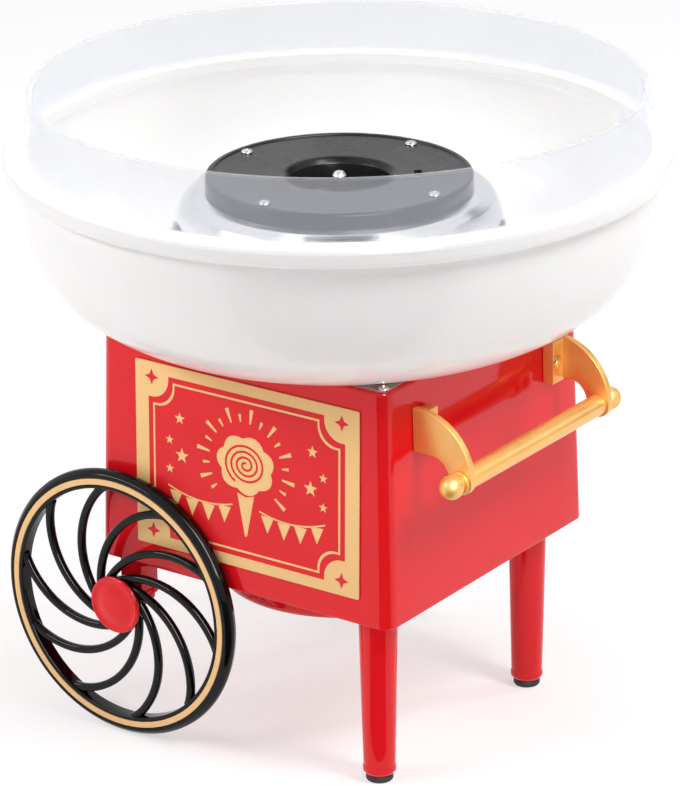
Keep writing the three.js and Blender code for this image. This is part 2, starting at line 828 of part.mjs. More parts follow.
function addBowlAndGuard() {
  machine.add(piece("bowl", revolvedRing(bowlProfile(), bowlFacets), "whitePlastic"));
  const low = guardZ - seatGap - guardSpigotDepth;
  const top = guardZ + guardHeight;
  const guard = [
    [guardSpigotR, low],
    [guardSpigotR, guardZ],
    [guardSeatR, guardZ],
    [guardTopR, top - 1],
    [guardTopR + guardBead, top - 0.5],
    [guardTopR - guardWall * 0.5, top],
    [guardTopR - guardWall, top - 0.6],
    [guardSeatR - guardWall * 1.6, guardZ + 1],
    [guardSpigotR - guardWall * 0.9, low],
  ];
  machine.add(piece("splash_guard", revolvedRing(guard, bowlFacets), "clearPlastic"));
}

// Heater pan on the top plate, with the ring element on ceramic posts and the thermostat below the floor
const heaterLow = housingTop + seatGap;
const heaterFloorTop = housingTop + heaterFloorRise + heaterFloorThickness;
const elementZ = housingTop + elementRise;
const elementEndAngle = (elementGapDeg / 2) * radians;

function elementLegs(radius, low, high) {
  return [1, -1].map((sign) =>
    rod(radius, low, high, screwFacets).translate(
      elementR * Math.cos(elementEndAngle * sign),
      elementR * Math.sin(elementEndAngle * sign),
      0,
    ));
}

function addHeater() {
  const inner = heaterPanR - heaterPanWall;
  const floorLow = housingTop + heaterFloorRise;
  const rim = housingTop + heaterPanHeight;
  const pan = revolvedRing(
    [
      [heaterHoleR, floorLow],
      [inner, floorLow],
      [inner, heaterLow],
      [heaterPanR, heaterLow],
      [heaterPanR, rim],
      [inner, rim],
      [inner, heaterFloorTop],
      [heaterHoleR, heaterFloorTop],
    ],
    headFacets,
  );
  const holes = elementLegs(elementTubeR * 0.6 + elementHoleMargin, floorLow - boreMargin, heaterFloorTop + boreMargin);
  machine.add(piece("heater_pan", less(pan, ...holes), "aluminium"));

  const sweep = 2 * (Math.PI - elementEndAngle);
  const ring = new THREE.Curve();
  ring.getPoint = (t, target = new THREE.Vector3()) => {
    const angle = elementEndAngle + sweep * t;
    return target.set(elementR * Math.cos(angle), elementR * Math.sin(angle), elementZ);
  };
  const section = new THREE.Shape();
  for (let i = 0; i < 6; i++) {
    const angle = (i * Math.PI) / 3;
    section[i ? "lineTo" : "moveTo"](elementTubeR * Math.cos(angle), elementTubeR * Math.sin(angle));
  }
  section.closePath();
  const tube = new THREE.ExtrudeGeometry(section, { steps: 30, extrudePath: ring, bevelEnabled: false });
  const legs = elementLegs(elementTubeR * 0.6, elementZ - elementLegLength, elementZ);
  machine.add(piece("heating_element", joined(tube, ...legs), "steel"));

  for (let i = 0; i < postCount; i++) {
    const angle = Math.PI / 3 + (i * 2 * Math.PI) / postCount;
    const height = elementZ - elementTubeR - 2 * seatGap - heaterFloorTop;
    const post = piece(`element_post_${i + 1}`, rod(postR, 0, height, screwFacets), "ceramic");
    post.position.set(elementR * Math.cos(angle), elementR * Math.sin(angle), heaterFloorTop + seatGap);
    machine.add(post);
  }
  const thermostat = piece("thermostat", rod(thermostatR, -thermostatHeight, 0, shaftFacets), "ceramic");
  thermostat.position.set(-thermostatX, 0, floorLow - seatGap);
  machine.add(thermostat);
}

// Motor hung below the ledge on a folded bracket, and the shaft that carries the sugar head
const shaftLow = motorTop - shaftInMotor;
const shaftTop = coverTopZ + 0.6;
const hubLow = headFloorZ - 3;
const drivePinZ = hubLow + drivePinR + 0.4;

function addMotor() {
  const bore = shaftR + runningGap;
  const low = motorTop - motorHeight;
  const can = revolved(
    [
      [0, low - motorBossHeight],
      [motorBossR, low - motorBossHeight],
      [motorBossR, low],
      [motorR - 2, low],
      [motorR, low + 2],
      [motorR, motorTop],
      [0, motorTop],
    ],
    motorFacets,
  );
  const well = rod(bore, shaftLow - boreMargin, motorTop + boreMargin, shaftFacets);
  machine.add(piece("motor", less(can, well), "steel"));

  const top = bracketZ;
  const outerX = bracketLegX + bracketFlange;
  const hat = new THREE.Shape();
  hat.moveTo(-outerX, top);
  hat.lineTo(-outerX, top - bracketSheet);
  hat.lineTo(-bracketLegX, top - bracketSheet);
  hat.lineTo(-bracketLegX, top - bracketDrop);
  hat.lineTo(bracketLegX, top - bracketDrop);
  hat.lineTo(bracketLegX, top - bracketSheet);
  hat.lineTo(outerX, top - bracketSheet);
  hat.lineTo(outerX, top);
  hat.lineTo(bracketLegX - bracketSheet, top);
  hat.lineTo(bracketLegX - bracketSheet, top - bracketDrop + bracketSheet);
  hat.lineTo(bracketSheet - bracketLegX, top - bracketDrop + bracketSheet);
  hat.lineTo(bracketSheet - bracketLegX, top);
  hat.closePath();
  const sheet = extruded(hat, -bracketHalfWidth, bracketHalfWidth).rotateX(Math.PI / 2);
  const hole = rod(motorBossR, top - bracketDrop - boreMargin, top, shaftFacets);
  machine.add(piece("motor_bracket", less(sheet, hole), "steel"));

  const shaft = revolved(
    [
      [0, shaftLow],
      [shaftR, shaftLow],
      [shaftR, shaftTop - shaftDome],
      [shaftR * 0.75, shaftTop - shaftDome * 0.35],
      [0, shaftTop],
    ],
    shaftFacets,
  );
  const pinHole = rod(drivePinR + runningGap, -shaftR * 2, shaftR * 2, screwFacets)
    .rotateX(Math.PI / 2)
    .translate(0, 0, drivePinZ);
  machine.add(piece("motor_shaft", less(shaft, pinHole), "steel"));
  const pin = rod(drivePinR, -drivePinLength / 2, drivePinLength / 2, screwFacets).rotateX(Math.PI / 2);
  const drivePin = piece("drive_pin", pin, "steel");
  drivePin.position.z = drivePinZ;
  machine.add(drivePin);
}

// Sugar head: the black cover with the sugar well, the domed shell, the slotted floor and the hub
function coverScrewPlaces() {
  return Array.from({ length: 4 }, (_, i) => {
    const angle = (coverScrewTurn + 90 * i) * radians;
    return [coverScrewCircleR * Math.cos(angle), coverScrewCircleR * Math.sin(angle)];
  });
}

function addHead() {
  const cover = [
    [wellR - 1.4, coverTopZ - wellDepth],
    [wellR + 0.4, coverTopZ - wellDepth],
    [wellR + 0.8, coverBottomZ],
    [headCoverR, coverBottomZ],
    [headCoverR, coverTopZ - 0.8],
    [headCoverR - 0.6, coverTopZ],
    [headCoverR - headCoverRimWidth, coverTopZ],
    [headCoverR - headCoverRimWidth - 0.4, coverTopZ - headCoverRecess],
    [wellR + wellRound, coverTopZ - headCoverRecess],
    [wellR + wellRound * 0.3, coverTopZ - headCoverRecess - wellRound * 0.3],
    [wellR, coverTopZ - headCoverRecess - wellRound],
  ];
  const places = coverScrewPlaces();
  const floorTop = headFloorZ + headFloorSheet;
  const screwSeat = coverTopZ - headCoverRecess;
  const coverScrewLength = screwSeat - floorTop - 2;
  const holes = places.map(([x, y]) => screwHole(coverScrewLength).translate(x, y, screwSeat));
  machine.add(piece("head_cover", less(revolvedRing(cover, headFacets), ...holes), "blackPlastic"));

  const shellIn = wellR + 0.8 + sideGap;
  const shell = [
    [shellIn, headTopZ - headSheet],
    [headR - 11.6, headTopZ - headSheet],
    [headR - 7.2, headTopZ - headSheet - 1.3],
    [headR - 2.9, headTopZ - headSheet - 4.8],
    [headR - headSheet, headEdgeZ],
    [headR, headEdgeZ],
    [headR - 0.8, headTopZ - 7.2],
    [headR - 3.4, headTopZ - 3.2],
    [headR - 7.6, headTopZ - 0.7],
    [headR - 11.4, headTopZ],
    [shellIn, headTopZ],
  ];
  machine.add(piece("head_shell", less(revolvedRing(shell, headFacets), ...holes), "aluminium"));

  const rim = headR - headSheet - 0.4;
  const plate = revolvedRing(
    [
      [headHubR - 2, headFloorZ],
      [rim, headFloorZ],
      [rim + 0.9, headFloorZ + 1.8],
      [rim - 0.5, headFloorZ + 1.8],
      [rim - 1.2, floorTop],
      [headHubR - 2, floorTop],
    ],
    headFacets,
  );
  const spacers = places.map(([x, y]) =>
    rod(spacerR, headFloorZ + 0.2, headTopZ - headSheet - seatGap, screwFacets).translate(x, y, 0));
  const slots = Array.from({ length: slotCount }, (_, i) =>
    slab(rim - slotDepth, rim - 2.2, -slotWidth / 2, slotWidth / 2, headFloorZ - boreMargin, floorTop + boreMargin)
      .rotateZ(((i + 0.5) * 2 * Math.PI) / slotCount));
  const hubHole = rod(headHubR + seatGap, headFloorZ - boreMargin, floorTop + boreMargin, legFacets);
  const floor = less(joined(plate, ...spacers), ...holes, ...slots, hubHole);
  machine.add(piece("head_floor", floor, "aluminium"));

  const hub = revolvedRing(
    [
      [shaftR + runningGap, hubLow],
      [headHubR, hubLow],
      [headHubR, floorTop],
      [headHubR + 2.4, floorTop + seatGap],
      [headHubR + 2.4, floorTop + 1.4],
      [headHubR - 1, floorTop + 2],
      [headHubR - 2, hubLow + headHubHeight],
      [shaftR + runningGap, hubLow + headHubHeight],
    ],
    legFacets,
  );
  const slot = slab(
    -drivePinR - sideGap, drivePinR + sideGap,
    -headHubR - boreMargin, headHubR + boreMargin,
    hubLow - boreMargin, drivePinZ + drivePinR + sideGap,
  );
  machine.add(piece("head_hub", less(hub, slot), "brass"));

  places.forEach(([x, y], i) => {
    const mesh = piece(`cover_screw_${i + 1}`, screw(coverScrewLength), "steel");
    mesh.position.set(x, y, screwSeat + seatGap / 2);
    machine.add(mesh);
  });
}

// Rocker switch and cord bush in the -X wall, which leans with the housing's draft
function addSwitch() {
  const faceX = -housingHalfX - draftAt(switchZ);
  const frame = new THREE.Group();
  frame.position.set(faceX, 0, switchZ);
  frame.rotation.y = -Math.PI / 2 + housingDraft * radians;
  // in the switch's own frame +Z points out of the wall and X runs up and down
  const halfH = switchHeight / 2;
  const halfW = switchWidth / 2;
  const bezelHalfH = halfH + bezelWidth;
  const bezelHalfW = halfW + bezelWidth;
  const bezel = slab(-bezelHalfH, bezelHalfH, -bezelHalfW, bezelHalfW, seatGap, bezelThickness);
  const body = slab(-halfH, halfH, -halfW, halfW, -switchDepth, bezelThickness / 2);
  const pocket = slab(
    switchWall - halfH, halfH - switchWall,
    switchWall - halfW, halfW - switchWall,
    switchWall - switchDepth, bezelThickness + boreMargin,
  );
  frame.add(piece("switch_frame", less(joined(bezel, body), pocket), "blackPlastic"));

  const reach = halfH - switchWall - sideGap;
  const half = halfW - switchWall - sideGap;
  const rocker = new THREE.Shape();
  const crown = bezelThickness + rockerProud;
  const drop = 2 * reach * Math.tan(rockerTilt * radians);
  rocker.moveTo(-reach, bezelThickness + drop);
  rocker.lineTo(0, crown - rockerProud * 0.7);
  rocker.lineTo(reach, bezelThickness + drop);
  rocker.lineTo(reach * 0.96, bezelThickness - 2.6);
  rocker.lineTo(reach * 0.35, bezelThickness - 5.2);
  rocker.lineTo(-reach * 0.35, bezelThickness - 5.2);
  rocker.lineTo(-reach * 0.96, bezelThickness - 2.6);
  rocker.closePath();
  // the rocker's pivot is at its own origin, and it rests tilted to one side
  const lever = extruded(rocker, -half, half).rotateX(Math.PI / 2);
  const button = piece("rocker_switch", lever, "redPlastic");
  button.rotation.y = rockerTilt * radians;
  frame.add(button);
  machine.add(frame);
}

function addCordBush() {
  const bush = revolvedRing(
    [
      [bushBoreR, -bushLength],
      [bushR, -bushLength],
      [bushR, seatGap],
      [bushFlangeR, seatGap],
      [bushFlangeR, bushFlange],
      [bushBoreR + 1.4, bushFlange + 2.4],
      [bushBoreR, bushFlange + 2.4],
    ],
    legFacets,
  );
  const mesh = piece("cord_bush", bush, "blackPlastic");
  mesh.position.set(-housingHalfX - draftAt(bushZ), bushY, bushZ);
  mesh.rotation.y = -Math.PI / 2;
  machine.add(mesh);
}

addHousing();
addBottomCover();
addLegs();
addWheels();
addAxle();
addHandle();
addLabel();
addBowlAndGuard();
addHeater();
addMotor();
addHead();
addSwitch();
addCordBush();

export default machine;
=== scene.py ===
"""Looks of a cart-style tabletop cotton candy machine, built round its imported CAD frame."""
from math import acos, atan, atan2, copysign, cos, degrees, exp, hypot, pi, radians, sin, sqrt, tan

import bmesh
import bpy
from mathutils import Matrix, Vector


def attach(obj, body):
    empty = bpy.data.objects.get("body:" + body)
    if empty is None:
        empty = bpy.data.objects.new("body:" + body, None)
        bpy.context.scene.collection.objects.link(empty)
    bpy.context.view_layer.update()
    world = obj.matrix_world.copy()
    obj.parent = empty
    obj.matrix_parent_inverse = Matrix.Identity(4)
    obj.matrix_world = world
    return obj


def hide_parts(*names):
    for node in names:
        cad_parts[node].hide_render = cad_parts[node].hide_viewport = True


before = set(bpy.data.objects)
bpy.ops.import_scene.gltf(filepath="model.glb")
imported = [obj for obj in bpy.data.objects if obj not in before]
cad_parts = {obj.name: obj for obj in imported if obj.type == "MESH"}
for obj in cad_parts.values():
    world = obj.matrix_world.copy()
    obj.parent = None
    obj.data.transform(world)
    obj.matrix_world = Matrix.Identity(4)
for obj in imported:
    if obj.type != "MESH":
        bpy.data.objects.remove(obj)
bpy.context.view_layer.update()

MM = 0.001

# Sizes in millimetres, the same as the CAD source's
HALF_X, HALF_Y = 73.7, 73.0
BOTTOM, TOP = 79.0, 183.0
DRAFT_DEGREES = 1.5
DRAFT = tan(radians(DRAFT_DEGREES))
CORNER_R = 5.8
WALL = 2.6
PLATE, SHELF = 1.2, 3.0
GAP = 0.3
# The wheel pins and the motor shaft share one radius, and so do the bores round them
PIN_R, BORE_R = 3.0, 3.12
WHEEL_X, WHEEL_Z, WHEEL_R = -62.0, 61.0, 61.0
WHEEL_BACK = HALF_Y + (TOP - BOTTOM) * DRAFT + 1.1
WHEEL_FRONT = WHEEL_BACK + 6.6
LEG_X, LEG_Y = 58.1, 57.6
BAR_X, BAR_Z, BAR_R = 97.7, 144.0, 4.7
ARM_Y, ARM = 54.6, 3.2
BOWL_Z = TOP + GAP
HEAD_R = 69.4
HEAD_EDGE = TOP + 44.3
HEAD_TOP = HEAD_EDGE + 11.4
COVER_LOW = HEAD_TOP + GAP
COVER_TOP = COVER_LOW + 6.4
COVER_SEAT = COVER_TOP - 0.7
COVER_R = 57.0
HEAD_FLOOR = HEAD_EDGE - 2.6
FLOOR_TOP = HEAD_FLOOR + 1.2
HUB_LOW = HEAD_FLOOR - 3
CROSS_PIN_R, CROSS_SLOT = 1.2, 1.6
CROSS_PIN_Z = HUB_LOW + CROSS_SLOT
SCREW_BORE_R = 1.7


def draft_at(z):
    return (TOP - z) * DRAFT


# Mesh building
def smooth(obj, sharp=32.0):
    """Smooth shading everywhere, but for edges that turn by more than sharp degrees."""
    bm = bmesh.new()
    bm.from_mesh(obj.data)
    bmesh.ops.recalc_face_normals(bm, faces=bm.faces)
    limit = radians(sharp)
    for face in bm.faces:
        face.smooth = True
    for edge in bm.edges:
        edge.smooth = len(edge.link_faces) == 2 and edge.calc_face_angle(0.0) < limit
    bm.to_mesh(obj.data)
    bm.free()
    return obj


def piece(name, bm, place=None, sharp=32.0):
    """An object in metres from a bmesh in millimetres, moved by the matrix place first."""
    bm.transform(Matrix.Scale(MM, 4) @ (place or Matrix.Identity(4)))
    mesh = bpy.data.meshes.new(name)
    bm.to_mesh(mesh)
    bm.free()
    obj = bpy.data.objects.new(name, mesh)
    bpy.context.scene.collection.objects.link(obj)
    return smooth(obj, sharp)


def rounded(points, closed=False, steps=5):
    """A polyline of (a, b) or (a, b, radius) points whose corners are arcs of the given radius."""
    out = []
    count = len(points)
    for i, point in enumerate(points):
        corner = Vector(point[:2])
        radius = point[2] if len(point) > 2 else 0.0
        if radius <= 0 or (not closed and i in (0, count - 1)):
            out.append(corner)
            continue
        before = Vector(points[i - 1][:2]) - corner
        after = Vector(points[(i + 1) % count][:2]) - corner
        lengths = before.length, after.length
        before.normalize()
        after.normalize()
        half = before.angle(after) / 2
        if half > radians(88):
            out.append(corner)
            continue
        reach = min(radius / tan(half), 0.49 * lengths[0], 0.49 * lengths[1])
        arc_r = reach * tan(half)
        centre = corner + (before + after).normalized() * (arc_r / sin(half))
        first = corner + before * reach - centre
        last = corner + after * reach - centre
        start = atan2(first.y, first.x)
        sweep = (atan2(last.y, last.x) - start + pi) % (2 * pi) - pi
        for k in range(steps + 1):
            angle = start + sweep * k / steps
            out.append(centre + Vector((cos(angle), sin(angle))) * arc_r)
    return out


def rectangle(half_w, half_h, radius):
    """A rounded rectangle about the origin."""
    return rounded([(half_w, -half_h, radius), (half_w, half_h, radius), (-half_w, half_h, radius),
                    (-half_w, -half_h, radius)], closed=True)


def loft_mesh(loops, around=True, ends=False):
    """Skins closed loops of equal length. around joins the last loop to the first, ends caps both ends."""
    bm = bmesh.new()
    rows = [[bm.verts.new(p) for p in loop] for loop in loops]
    pairs = list(zip(rows, rows[1:]))
    if around:
        pairs.append((rows[-1], rows[0]))
    count = len(rows[0])
    for a, b in pairs:
        for k in range(count):
            j = (k + 1) % count
            bm.faces.new((a[k], a[j], b[j], b[k]))
    if ends:
        bm.faces.new(rows[0][::-1])
        bm.faces.new(rows[-1])
    return bm


def turned_mesh(profile, segments=96, closed=False):
    """Turns (radius, height) points about the Z axis."""
    bm = bmesh.new()
    rows = []
    for radius, height in profile:
        if radius < 1e-6:
            rows.append([bm.verts.new((0, 0, height))])
            continue
        row = []
        for k in range(segments):
            angle = 2 * pi * k / segments
            row.append(bm.verts.new((radius * cos(angle), radius * sin(angle), height)))
        rows.append(row)
    pairs = list(zip(rows, rows[1:]))
    if closed:
        pairs.append((rows[-1], rows[0]))
    for a, b in pairs:
        for k in range(segments):
            j = (k + 1) % segments
            if len(a) == 1 and len(b) == 1:
                break
            if len(a) == 1:
                bm.faces.new((a[0], b[j], b[k]))
            elif len(b) == 1:
                bm.faces.new((a[k], a[j], b[0]))
            else:
                bm.faces.new((a[k], a[j], b[j], b[k]))
    return bm


def turned(name, profile, place=None, segments=96, closed=False, steps=5, sharp=32.0):
    return piece(name, turned_mesh(rounded(profile, closed, steps), segments, closed), place, sharp)


def slab_mesh(outline, low, high, bevel=0.0, segments=2):
    """A flat outline extruded from low to high, with its rims bevelled."""
    bm = bmesh.new()
    base = bm.faces.new([bm.verts.new((p[0], p[1], low)) for p in outline])
    made = bmesh.ops.extrude_face_region(bm, geom=[base])
    lifted = [v for v in made["geom"] if isinstance(v, bmesh.types.BMVert)]
    bmesh.ops.translate(bm, vec=(0, 0, high - low), verts=lifted)
    bmesh.ops.recalc_face_normals(bm, faces=bm.faces)
    if bevel:
        rims = [e for e in bm.edges if e.calc_face_angle(0.0) > 1.0
                and abs(e.verts[0].co.z - e.verts[1].co.z) < 1e-6]
        bmesh.ops.bevel(bm, geom=rims, offset=bevel, segments=segments, profile=0.5,
                        affect="EDGES", clamp_overlap=True)
    return bm


def merge(target, source, place=None):
    """Adds the bmesh source, moved by the matrix place, to the bmesh target."""
    if place is not None:
        source.transform(place)
    mesh = bpy.data.meshes.new("part")
    source.to_mesh(mesh)
    source.free()
    target.from_mesh(mesh)
    bpy.data.meshes.remove(mesh)


def apply_modifiers(obj):
    bpy.context.view_layer.update()
    result = obj.evaluated_get(bpy.context.evaluated_depsgraph_get())
    mesh = bpy.data.meshes.new_from_object(result)
    obj.modifiers.clear()
    obj.data = mesh


def boolean(obj, tools, operation="DIFFERENCE", sharp=32.0):
    """Cuts the tools from obj, or joins them to it, and deletes them."""
    for tool in tools:
        modifier = obj.modifiers.new("boolean", "BOOLEAN")
        modifier.operation = operation
        modifier.solver = "EXACT"
        modifier.object = tool
    apply_modifiers(obj)
    for tool in tools:
        bpy.data.objects.remove(tool)
    smooth(obj, sharp)


def soften(obj, width, segments, angle):
    """Bevels by width millimetres the edges of obj that turn by more than angle degrees."""
    modifier = obj.modifiers.new("soften", "BEVEL")
    modifier.width = width * MM
    modifier.segments = segments
    modifier.limit_method = "ANGLE"
    modifier.angle_limit = radians(angle)
    modifier.use_clamp_overlap = True
    apply_modifiers(obj)
    smooth(obj)


def tangent(path, i):
    """The direction of a path at its point i."""
    return (path[min(i + 1, len(path) - 1)] - path[max(i - 1, 0)]).normalized()


def tube_mesh(path, section):
    """Sweeps a section, a function of the share along the path, down a level path."""
    loops = []
    for i, point in enumerate(path):
        along = tangent(path, i)
        side = along.cross(Vector((0, 0, 1))).normalized()
        top = side.cross(along).normalized()
        loops.append([point + side * a + top * b for a, b in section(i / (len(path) - 1))])
    return loft_mesh(loops, around=False, ends=True)


def shift(x=0.0, y=0.0, z=0.0):
    return Matrix.Translation((x, y, z))


def turn(angle, axis):
    return Matrix.Rotation(radians(angle), 4, axis)


# Materials: Object coordinates are metres in the frame, so every pattern keeps its real size
LOW_NOISE, HIGH_NOISE = 0.3, 0.7
RELIEF_DEPTH, MARK_DEPTH = 0.0002, 0.0001
RING_SCALE = 3500.0
BRUSH_SIZE, BRUSH_STRETCH = 0.35, 0.02


def new_material(name):
    mat = bpy.data.materials.new(name)
    mat.use_nodes = True
    return mat, mat.node_tree.nodes, mat.node_tree.links


def set_inputs(node, **inputs):
    """Sets inputs that are named in small letters with underscores."""
    for key, value in inputs.items():
        node.inputs[key.replace("_", " ").title().replace("Ior", "IOR")].default_value = value
    return node


def add_node(nodes, kind, **inputs):
    return set_inputs(nodes.new("ShaderNode" + kind), **inputs)


def surface(name, colour, roughness, metallic=0.0, mottle=0.03, mottle_size=25.0, spread=0.04, spread_size=12.0,
            bump=0.02, bump_size=1.2, lines=None, line_depth=0.05, alpha=None, **inputs):
    """A finish with slow colour variation, patchy gloss and a fine relief. Sizes are in millimetres.
    lines is "ring" for turned or spun marks about Z, or an axis letter for marks brushed along it.
    alpha is the opacity seen square on and at a grazing angle. Other inputs go to the shader."""
    mat, nodes, links = new_material(name)
    shader = set_inputs(nodes["Principled BSDF"], metallic=metallic, **inputs)
    place = add_node(nodes, "TexCoord").outputs["Object"]

    def noise(size, detail=3.0, vector=place):
        node = add_node(nodes, "TexNoise", scale=1000.0 / size, detail=detail)
        links.new(vector, node.inputs["Vector"])
        return node.outputs["Fac"]

    def ramp(value, low, high):
        node = add_node(nodes, "MapRange", from_min=LOW_NOISE, from_max=HIGH_NOISE, to_min=low, to_max=high)
        links.new(value, node.inputs["Value"])
        return node.outputs["Result"]

    tint = add_node(nodes, "Mix")
    tint.data_type = "RGBA"
    tint.inputs["A"].default_value = (*[c * (1 - mottle) for c in colour], 1)
    tint.inputs["B"].default_value = (*[min(1.0, c * (1 + mottle)) for c in colour], 1)
    links.new(ramp(noise(mottle_size), 0, 1), tint.inputs["Factor"])
    links.new(tint.outputs["Result"], shader.inputs["Base Color"])
    low, high = max(0.02, roughness - spread), roughness + spread
    links.new(ramp(noise(spread_size, 4.0), low, high), shader.inputs["Roughness"])

    relief = add_node(nodes, "Bump", strength=bump, distance=RELIEF_DEPTH)
    links.new(noise(bump_size), relief.inputs["Height"])
    if lines:
        marks = add_node(nodes, "Bump", strength=line_depth, distance=MARK_DEPTH)
        scaled = add_node(nodes, "VectorMath")
        scaled.operation = "MULTIPLY"
        links.new(place, scaled.inputs[0])
        if lines == "ring":
            scaled.inputs[1].default_value = (1, 1, 0)
            radius = add_node(nodes, "VectorMath")
            radius.operation = "LENGTH"
            links.new(scaled.outputs["Vector"], radius.inputs[0])
            line = add_node(nodes, "TexNoise", scale=RING_SCALE, detail=4.0)
            line.noise_dimensions = "1D"
            links.new(radius.outputs["Value"], line.inputs["W"])
            links.new(line.outputs["Fac"], marks.inputs["Height"])
        else:
            scaled.inputs[1].default_value = tuple(BRUSH_STRETCH if a == lines else 1.0 for a in "XYZ")
            links.new(noise(BRUSH_SIZE, 4.0, scaled.outputs["Vector"]), marks.inputs["Height"])
        links.new(relief.outputs["Normal"], marks.inputs["Normal"])
        relief = marks
    links.new(relief.outputs["Normal"], shader.inputs["Normal"])
    if alpha is not None:
        facing = add_node(nodes, "LayerWeight", blend=0.35)
        edge = add_node(nodes, "MapRange", to_min=alpha[0], to_max=alpha[1])
        links.new(facing.outputs["Facing"], edge.inputs["Value"])
        links.new(edge.outputs["Result"], shader.inputs["Alpha"])
    return mat


RED = surface("red_gloss", (0.81, 0.008, 0.014), 0.07, mottle=0.025, mottle_size=40, spread=0.03, bump=0.025,
              bump_size=2.2, specular_ior_level=0.31)
WHITE = surface("white_bowl", (0.92, 0.92, 0.915), 0.16, mottle=0.01, mottle_size=60, bump_size=2.5,
                subsurface_weight=0.25, subsurface_scale=0.004, specular_ior_level=0.35)
MOULDED = dict(mottle=0.01, mottle_size=50, spread=0.03, bump=0.015, bump_size=3.0)
CLEAR = surface("clear_guard", (0.73, 0.755, 0.83), 0.06, alpha=(0.17, 0.47), ior=1.5, subsurface_weight=0.9,
                subsurface_scale=0.006, subsurface_radius=(1.0, 1.0, 1.0), **MOULDED)
SEAT = surface("clear_seat", (0.86, 0.87, 0.9), 0.08, alpha=(0.05, 0.15), ior=1.3, **MOULDED)
BLACK = surface("black_gloss", (0.003, 0.0025, 0.003), 0.07, mottle=0.1, mottle_size=15, spread=0.03, bump=0.03,
                bump_size=1.5, specular_ior_level=0.22)
COVER = surface("black_cover", (0.013, 0.011, 0.0115), 0.26, mottle=0.12, mottle_size=12, spread=0.05, bump=0.1,
                bump_size=0.7, specular_ior_level=0.22)
GOLD = surface("gold_paint", (0.93, 0.51, 0.15), 0.36, metallic=0.5, mottle=0.04, mottle_size=9, spread=0.05,
               bump=0.1, bump_size=0.35, coat_weight=0.2, coat_roughness=0.14)
INLAY = surface("gold_inlay", (0.95, 0.58, 0.26), 0.42, metallic=0.05, mottle=0.04, mottle_size=6, spread=0.05,
                bump=0.05, bump_size=0.4)
CREAM = surface("label_cream", (0.97, 0.61, 0.26), 0.42, mottle=0.02, mottle_size=30, bump=0.04, bump_size=0.5,
                specular_ior_level=0.3)
PRINT = surface("label_red", (0.8, 0.012, 0.018), 0.34, mottle_size=20, bump=0.04, bump_size=0.5,
                specular_ior_level=0.3)
SHEET = surface("plate_metal", (0.68, 0.61, 0.56), 0.36, metallic=0.9, mottle=0.05, mottle_size=14, spread=0.07,
                bump=0.04, lines="X", line_depth=0.12)
ALU = surface("spun_aluminium", (0.78, 0.785, 0.81), 0.2, metallic=1.0, mottle_size=18, spread=0.05,
              lines="ring", line_depth=0.22, anisotropic=0.8, anisotropic_rotation=0.25)
PAN = surface("heater_aluminium", (0.7, 0.7, 0.7), 0.3, metallic=1.0, mottle=0.07, mottle_size=16, spread=0.08,
              bump=0.05, lines="ring", line_depth=0.25)
STEEL = surface("bright_steel", (0.7, 0.7, 0.71), 0.18, metallic=1.0, mottle=0.04, mottle_size=4, spread=0.06,
                bump=0.04, bump_size=0.5)
COIL = surface("heater_tube", (0.16, 0.15, 0.15), 0.45, metallic=0.8, mottle=0.25, mottle_size=7, spread=0.1,
               bump=0.12, bump_size=0.6)
BRASS = surface("turned_brass", (0.7, 0.5, 0.2), 0.26, metallic=1.0, mottle=0.06, mottle_size=5, spread=0.06,
                bump=0.03, lines="ring", line_depth=0.3)
CERAMIC = surface("ceramic", (0.8, 0.76, 0.69), 0.6, mottle=0.05, mottle_size=3, spread=0.05, bump=0.2,
                  bump_size=0.5)
RUBBER = surface("rubber", (0.014, 0.014, 0.014), 0.62, mottle=0.2, mottle_size=5, spread=0.08, bump=0.25,
                 bump_size=0.5)
MOTOR = surface("motor_can", (0.5, 0.5, 0.5), 0.4, metallic=1.0, mottle=0.08, mottle_size=10, spread=0.08,
                bump=0.05, bump_size=0.8)


def dress(obj, material, body, slot, *nodes):
    """Gives a piece its material and body, and hides the CAD nodes that it stands for. The slot is not used."""
    obj.data.materials.clear()
    obj.data.materials.append(material)
    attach(obj, body)
    if nodes:
        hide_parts(*nodes)


# Housing
CORNER_STEPS = 8
SIDE_STEPS = 10


def box_loop(grow, z):
    """The housing's outline at height z, with its draft, moved out by grow."""
    a = HALF_X + grow + draft_at(z)
    b = HALF_Y + grow + draft_at(z)
    r = CORNER_R + grow
    corners = []
    for sx, sy, start in ((1, 1, 0), (-1, 1, 90), (-1, -1, 180), (1, -1, 270)):
        for k in range(CORNER_STEPS + 1):
            angle = radians(start + 90 * k / CORNER_STEPS)
            corners.append(Vector((sx * (a - r) + r * cos(angle), sy * (b - r) + r * sin(angle), z)))
    loop = []
    for i, point in enumerate(corners):
        loop.append(point)
        if i % (CORNER_STEPS + 1) == CORNER_STEPS:
            after = corners[(i + 1) % len(corners)]
            loop.extend(point.lerp(after, k / SIDE_STEPS) for k in range(1, SIDE_STEPS))
    return loop


def circle_loop(radius, z):
    """A circle with as many points as a box loop, each in the same direction from the axis."""
    points = []
    for p in box_loop(0, TOP):
        angle = atan2(p.y, p.x)
        points.append(Vector((radius * cos(angle), radius * sin(angle), z)))
    return points


def block(low, high):
    """A plain block between two corners, used to cut with."""
    bm = bmesh.new()
    bmesh.ops.create_cube(bm, size=1)
    size = Vector(high) - Vector(low)
    bm.transform(shift(*((Vector(high) + Vector(low)) / 2)) @ Matrix.Diagonal((*size, 1)))
    return piece("cutter", bm)


def peg(radius, low, high, place=None, segments=24):
    return piece("cutter", turned_mesh([(0, low), (radius, low), (radius, high), (0, high)], segments), place)


SWITCH_Z = 150.0
SWITCH_FACE = -HALF_X - draft_at(SWITCH_Z)
BUSH_SPOT = (-HALF_X - draft_at(96.0), 46.0, 96.0)


